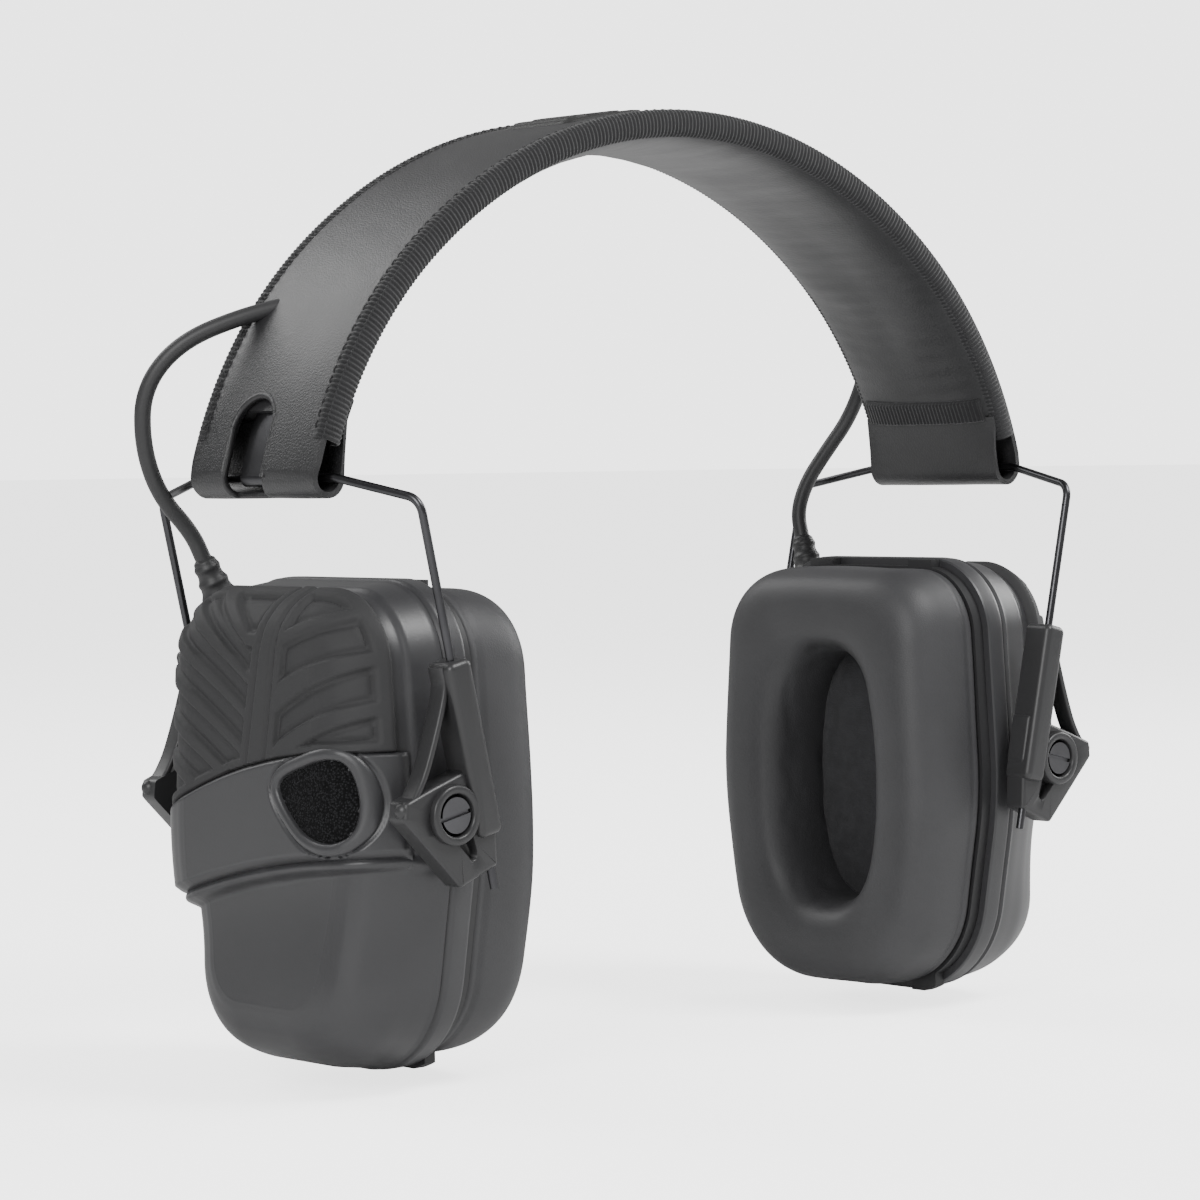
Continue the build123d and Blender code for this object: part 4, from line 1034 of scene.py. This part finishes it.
def window_rim(side):
    """Rolled leather edge round the window's upper half, lying on the band."""
    outward, up, high, _ = window_frame()
    spots = [s for s in window_outline(0.35, 90) if s[1] > -1.5]
    spots = sorted(spots, key=lambda s: math.atan2(s[0] - WINDOW_OFFSET, s[1] - high + 9))
    path = []
    for y, h in spots:
        start = HINGE + up * h + outward * 20
        flat = start[[0, 2]] - SIDE_CENTRE
        step = np.array([outward[0], outward[2]])
        along = flat @ step
        reach = along - math.sqrt(max(along ** 2 - flat @ flat + SIDE_RADIUS ** 2, 0))
        point = start - outward * reach
        path.append((point[0], y, point[2]))
    path = curve_through(path[::3], 90)
    make_piece(f"{side}_window_rim", tube_mesh(path, 0.75, 12), "headband", "band_leather")


def inner_pad():
    """Padded lining: thin at the bound edges, full in the middle, with soft creases."""
    end = band_length(PAD_END)
    s = np.linspace(-end, end, 460)[:, None]
    across = np.linspace(-1, 1, 81)[None, :]
    y = across * (BAND_HALF - 0.2)
    fullness = (1 - np.abs(across) ** 3.2) ** 0.8
    padding = (BAND_THICKNESS - EDGE_THICKNESS) * fullness * smooth((end - np.abs(s)) / 6 + 0.75)
    depth = EDGE_THICKNESS + padding
    flat = band_points(s, y, depth)
    lines = waves(flat * [1, 0.25, 1], 31, 16, 3)
    ends = smooth((np.abs(s) - 60) / 50)
    crease = (0.22 + 0.5 * ends) * lines * fullness
    bottom = band_points(s, y, depth + crease)
    top = band_points(s, y, np.full(depth.shape, COVER_WALL))
    piece = make_piece("pad_lining", slab(bottom, top), "headband", "pad_leather", "headband_pad")


RIB_PITCH = 1.15
BINDING_FLAP = 3.2


def binding(edge, node):
    """Ribbed tape folded round an edge of the band; edge is -1 at the front and 1 at the rear."""
    end = band_length(BINDING_END)
    s = np.linspace(-end, end, int(2 * end / RIB_PITCH * 6))[:, None]
    half = EDGE_THICKNESS / 2 + 0.3
    flap, crook, hem = BAND_HALF - BINDING_FLAP, BAND_HALF - BINDING_FLAP * 0.6, BAND_HALF - 0.9
    fold = [(BAND_HALF - 0.6 + 1.1 * math.cos(a), half - 0.3 - (half - 0.1) * math.sin(a))
            for a in np.linspace(1.2, -1.2, 9)]
    upper = [(flap, -0.35), (crook, -0.6), (hem, -0.6)]
    lower = [(hem, EDGE_THICKNESS + 0.6), (crook, EDGE_THICKNESS + 0.6), (flap, EDGE_THICKNESS + 0.35)]
    path = curve_through(upper + fold + lower, 30)
    normal = unit(np.column_stack([-np.gradient(path[:, 1]), np.gradient(path[:, 0])]))
    ribs = 0.26 * (0.5 + 0.5 * np.cos(s * 2 * math.pi / RIB_PITCH)) - 0.13
    lift = ribs * (smooth((end - np.abs(s)) / 1.5) * 0.5 + 0.5)
    outer = path[None] - normal[None] * lift[..., None]
    inner = path[None] + normal[None] * 0.45 + 0 * lift[..., None]
    top, bottom = (band_points(s, edge * at[..., 0], at[..., 1]) for at in (outer, inner))
    make_piece(f"{node}_tape", slab(top, bottom), "headband", "binding_tape", node)
    stitches(f"{node}_stitching", edge, end - 1)


def stitches(name, edge, end):
    """Sewn line along both faces of a binding."""
    y = np.full(5, edge * (BAND_HALF - BINDING_FLAP + 0.75))
    parts = []
    for depth, inward in ((-0.75, 1), (EDGE_THICKNESS + 0.75, -1)):
        for s in np.arange(-end + 1, end - 1, 2.6):
            sink = np.array([0.5, 0.08, 0, 0.08, 0.5]) * inward
            parts.append(tube_mesh(band_points(np.linspace(s, s + 1.9, 5), y, depth + sink), 0.22, 6))
    make_piece(name, joined(parts), "headband", "binding_tape", material="stitch_thread")


def end_tape(side):
    """Ribbed tape across the pad's lower end."""
    low, high = band_length(TAPE_START), band_length(PAD_END)
    s = np.linspace(low, high + 1.5, 60)[:, None]
    y = np.linspace(-1, 1, 170)[None, :] * (BAND_HALF - BINDING_FLAP + 0.6)
    ribs = 0.22 * (0.5 + 0.5 * np.cos(y * 2 * math.pi / RIB_PITCH))
    edge = smooth(np.minimum(s - low, high + 1.5 - s) / 0.8)
    fall = 3.0 * np.clip(np.abs(y) / BAND_HALF, 0, 1) ** 4
    depth = BAND_THICKNESS + 0.1 + (0.75 + ribs) * edge - fall
    top = band_points(s, y, depth)
    bottom = band_points(s, y, np.minimum(depth - 0.3, BAND_THICKNESS - 0.6 - fall))
    make_piece(f"{side}_end_ribbing", slab(top, bottom), "headband", "binding_tape", f"{side}_end_tape")


def crown_strip():
    """Moulded strip over the crown with rounded plain ribs."""
    half_length, half_width = CROWN_RADIUS * math.radians(14), 12.0
    s = np.linspace(-half_length, half_length, 240)[:, None]
    y = np.linspace(-half_width, half_width, 90)[None, :]
    corner = 3.0
    qx = np.abs(s) - (half_length - corner)
    qy = np.abs(y) - (half_width - corner)
    inside = corner - np.hypot(np.maximum(qx, 0), np.maximum(qy, 0)) - np.minimum(np.maximum(qx, qy), 0)
    pitch = 2 * half_length / 9
    ribs = smooth(0.5 + 2.2 * np.cos(s * 2 * math.pi / pitch)) * smooth((inside - 1.8) / 0.8)
    height = 0.3 + 0.75 * smooth(inside / 1.0) + 0.5 * ribs
    top = band_points(s, y, -height)
    bottom = band_points(s, y, np.full(height.shape, 0.2))
    mesh = slab(top, bottom, keep=inside > 0.05)
    make_piece("crown_ribbed_strip", mesh, "headband", "crown_rubber", "crown_strip")


# --- cord ---
CABLE_RADIUS = 1.9
CABLE_SPLITS = (0, 0.42, 0.93, 1.0)
CABLE_ROUTE = {
    "left": ((83.4, 10.2, -31.0), (88.4, 10.2, -36.0), (100.5, 18.0, -39.0), (112.5, 27.0, -45.0),
             (118.3, 33.0, -55.0), (116.8, 36.0, -67.5), (112.0, 36.8, -79.0), (103.4, 36.0, -87.8),
             (100.7, 35.2, -94.2), (97.9, 34.3, -100.8)),
    "right": ((83.4, 10.2, -31.0), (88.4, 10.2, -36.0), (101.0, 18.5, -40.0), (109.0, 26.5, -50.0),
              (107.8, 31.5, -62.0), (103.0, 35.8, -71.0), (98.5, 38.8, -79.0), (95.7, 39.5, -86.9),
              (95.5, 37.5, -93.6), (95.3, 35.3, -101.0)),
}


def spline_points(route):
    """The smooth line of a cord through its route's points."""
    curve = bpy.data.curves.new("cord_line", "CURVE")
    curve.dimensions = "3D"
    spline = curve.splines.new("NURBS")
    spline.points.add(len(route) - 1)
    for point, place_at in zip(spline.points, route):
        point.co = (*[c * MM for c in place_at], 1)
    spline.order_u = 3
    spline.use_endpoint_u = True
    spline.resolution_u = 14
    holder = bpy.data.objects.new("cord_line", curve)
    bpy.context.scene.collection.objects.link(holder)
    bpy.context.view_layer.update()
    mesh = bpy.data.meshes.new_from_object(holder)
    points = np.array([v.co for v in mesh.vertices]) / MM
    bpy.data.objects.remove(holder)
    bpy.data.meshes.remove(mesh)
    return points


def cables():
    """The exposed cord on each side, in three butted lengths."""
    for side in ("left", "right"):
        points = spline_points(CABLE_ROUTE[side])
        length = np.concatenate([[0], np.cumsum(np.linalg.norm(np.diff(points, axis=0), axis=1))])
        marks = np.array(CABLE_SPLITS) * length[-1]
        for number in range(3):
            at = np.linspace(marks[number], marks[number + 1], 60)
            path = np.column_stack([np.interp(at, length, points[:, k]) for k in range(3)])
            nodes = [f"{side}_cable"] if number == 0 else []
            mesh = tube_mesh(path, CABLE_RADIUS, 24)
            piece = make_piece(f"{side}_cord_{number + 1}", mesh, None, "cable_rubber", *nodes)
            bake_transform(piece)


SLEEVE_BASE = np.array([95.2, 33.5, -107.0])
SLEEVE_TOP_RADIUS, SLEEVE_BASE_RADIUS = 2.6, 4.3
SLEEVE_RING_PITCH = 3.4


def strain_relief(side):
    """Moulded sleeve with grip rings that narrows towards the cord."""
    top = np.array(CABLE_ROUTE[side][8])
    along = SLEEVE_BASE - top
    t = np.linspace(-0.06, 1.25, 90)
    radius = SLEEVE_TOP_RADIUS + (SLEEVE_BASE_RADIUS - SLEEVE_TOP_RADIUS) * smooth(t / 0.95)
    spacing = (t * np.linalg.norm(along)) % SLEEVE_RING_PITCH - SLEEVE_RING_PITCH / 2
    rings = 0.38 * np.exp(-(spacing / 0.75) ** 2) * ((t > 0.02) & (t < 0.85))
    mesh = tube_mesh(top + t[:, None] * along, radius + rings - 0.9 * smooth((0.02 - t) / 0.08), 36)
    make_piece(f"{side}_cord_sleeve", mesh, f"{side}_cup", "cable_rubber", f"{side}_strain_relief")


def boss(side, face):
    """Round boss between the shell and a clip."""
    y = np.array([33.0, 38.0, 41.0, 41.4, 41.5]) * face
    mesh = turned_on_y(PIVOT[0], PIVOT[2], y, [5.9, 5.7, 5.5, 5.2, 4.6])
    make_piece(f"{side}_boss_{'front' if face < 0 else 'rear'}", mesh, f"{side}_cup", "shell_plastic")


def knob_boss():
    """Round boss behind the volume knob, drawn on the right and mirrored by its name."""
    low, high = box_mm("volume_knob")
    x, z = -(low[0] + high[0]) / 2, (low[2] + high[2]) / 2
    mesh = turned_on_y(x, z, (28.0, 36.6, 37.1, 37.2), [7.0, 7.0, 6.7, 6.2])
    make_piece("left_knob_boss", mesh, "left_cup", "shell_plastic")


# --- clips ---
LEG = np.array(JOINTS["right_height"]["axis"])
LEG_UP = LEG * np.sign(LEG[2])
LEG_OUT = np.array([LEG_UP[2], 0, -LEG_UP[0]])
CLIP_INNER = 41.8
LEG_X = -8.3
BARREL_BOTTOM, BARREL_TOP, BARREL_HALF_WIDTH = -7.0, 31.7, 3.3
BARREL_DEPTH = 7.4
BARREL_CORNER, BARREL_EDGE = 1.7, 1.5
CLIP_FOOT = np.array([[-11.2, 8.0], [-11.0, -2.0], [-8.9, -13.4], [1.0, -15.0], [12.2, 2.6], [11.2, 5.4],
                      [4.0, 6.4]])
FOOT_DEPTH, FOOT_GROW, FOOT_EDGE = 5.6, 0.8, 1.0
CLIP_RIB = ((-5.2, 31.0), (-5.0, 26.6), (-2.0, 20.6), (3.6, 11.7), (7.2, 7.4), (10.6, 4.6))
SCREW_SEAT = 4.7
SEAT_RING = ((4.6, 3.0), (6.5, 3.0), (6.5, 6.7), (6.35, 7.0), (6.0, 7.2), (5.1, 7.2), (4.8, 7.05), (4.6, 6.7),
             (4.6, 3.0))
BALL_CENTRE, BALL_RADIUS, BALL_DEPTH = np.array([11.3, 4.2]), 2.0, 3.5


def ray_outline(distance, centre, count=180):
    """Outline of a shape given by its signed distance, met by rays from a point inside it."""
    rays = circle(count)
    low, high = np.zeros(count), np.full(count, 30.0)
    for _ in range(30):
        middle = (low + high) / 2
        inside = distance(centre + rays * middle[:, None]) < 0
        low, high = np.where(inside, middle, low), np.where(inside, high, middle)
    return centre + rays * low[:, None]


def plate_rings(outline, low, high, radius, steps=6):
    """Rings up the side of a plate and over its rounded top edge; the outline runs anticlockwise."""
    ahead = np.roll(outline, -1, 0) - np.roll(outline, 1, 0)
    inward = unit(np.column_stack([-ahead[:, 1], ahead[:, 0]]))
    rings = [np.column_stack([outline, np.full(len(outline), low)])]
    for turn in np.linspace(0, math.pi / 2, steps):
        inset = outline + inward * radius * (1 - math.cos(turn))
        rings.append(np.column_stack([inset, np.full(len(outline), high - radius * (1 - math.sin(turn)))]))
    return rings


def clip_foot():
    """Foot plate with the screw's seat and the teardrop recess below it."""
    centre = np.array([-1.2, -3.2])
    drop = np.array([[0.0, -1.0], [-3.2, -9.8]])

    def recessed(at):
        share = np.clip(-at[..., 1] / 9.8, 0, 1)
        seat = np.hypot(at[..., 0], at[..., 1]) - SCREW_SEAT
        return np.minimum(line_distance(at, drop) - (3.6 - 2.4 * share), seat)

    outer = ray_outline(lambda at: polygon_distance(at, CLIP_FOOT) - FOOT_GROW, centre)
    inner = ray_outline(recessed, centre)
    rings = plate_rings(outer, 0.2, FOOT_DEPTH, FOOT_EDGE)
    for grow, depth in ((1.04, FOOT_DEPTH), (1.0, FOOT_DEPTH - 0.2), (0.97, 3.4), (0.9, 3.1), (0.5, 3.1)):
        rings.append(np.column_stack([centre + (inner - centre) * grow, np.full(len(inner), depth)]))
    return stack(rings)


def clip_barrel():
    """Socket for the wire's leg, a rounded bar."""
    corner = np.linspace(0, math.pi / 2, 8)
    middle, half_y = (BARREL_TOP + BARREL_BOTTOM) / 2, (BARREL_TOP - BARREL_BOTTOM) / 2
    reach_x, reach_y = BARREL_HALF_WIDTH - BARREL_CORNER, half_y - BARREL_CORNER
    outline = []
    for turn, sx, sy in ((0, 1, 1), (1, -1, 1), (2, -1, -1), (3, 1, -1)):
        angle = corner + turn * math.pi / 2
        outline.append(np.column_stack([LEG_X + sx * reach_x + BARREL_CORNER * np.cos(angle),
                                        middle + sy * reach_y + BARREL_CORNER * np.sin(angle)]))
    return stack(plate_rings(np.vstack(outline), 0.2, BARREL_DEPTH, BARREL_EDGE, 8))


def clip_rib():
    """Thin rib from the barrel's top down to the foot's outer corner."""
    path = curve_through(CLIP_RIB, 60)
    ahead = np.gradient(path, axis=0)
    across = unit(np.column_stack([-ahead[:, 1], ahead[:, 0]]))
    c, s = circle(24).T
    half = 0.75 * np.sign(c) * np.abs(c) ** 0.6
    depth = 2.8 + 2.4 * np.sign(s) * np.abs(s) ** 0.35
    return stack([np.column_stack([at + side * half[:, None], depth]) for at, side in zip(path, across)])


def turned(centre, profile, count=48):
    """Round solid about an axis through the clip's plane, from its radii and depths."""
    ring = circle(count)
    return stack([np.column_stack([centre + ring * radius, np.full(count, depth)])
                  for radius, depth in profile])


def clip_mesh():
    """Moulded clip in its plane: across the leg, up it, and depth."""
    ball = [(BALL_RADIUS * math.sin(turn) + 0.02, BALL_DEPTH - BALL_RADIUS * math.cos(turn))
            for turn in np.linspace(0, math.pi, 14)]
    verts, faces = turned(np.zeros(2), SEAT_RING)
    ring = verts[:-2], [face for face in faces if max(face) < len(verts) - 2]
    return joined((clip_foot(), clip_barrel(), clip_rib(), ring, turned(BALL_CENTRE, ball)))


def clips():
    """The moulded clip at the front and rear of each cup."""
    verts, faces = clip_mesh()
    for side in ("left", "right"):
        for name, face in (("front", -1), ("rear", 1)):
            placed = np.array([PIVOT[0], 0, PIVOT[2]]) + verts[:, :1] * LEG_OUT + verts[:, 1:2] * LEG_UP
            placed[:, 1] = face * (CLIP_INNER + verts[:, 2])
            make_piece(f"{side}_{name}_clip_moulding", (placed, faces), f"{side}_slider", "clip_plastic",
                       f"{side}_{name}_clip")


# --- build everything ---
finish_nodes()
add_camera()
add_studio()
cables()
band_cover()
inner_pad()
binding(-1, "front_binding")
binding(1, "rear_binding")
crown_strip()
SIDE_PIECES = (shell_piece, tread, front_band, mic_surround, wind_foam, cushion, liner, end_tape, strain_relief)
for side_name in ("left", "right"):
    for build in SIDE_PIECES:
        build(side_name)
    for facing in (-1, 1):
        boss(side_name, facing)
battery_door()
knob_boss()
clips()
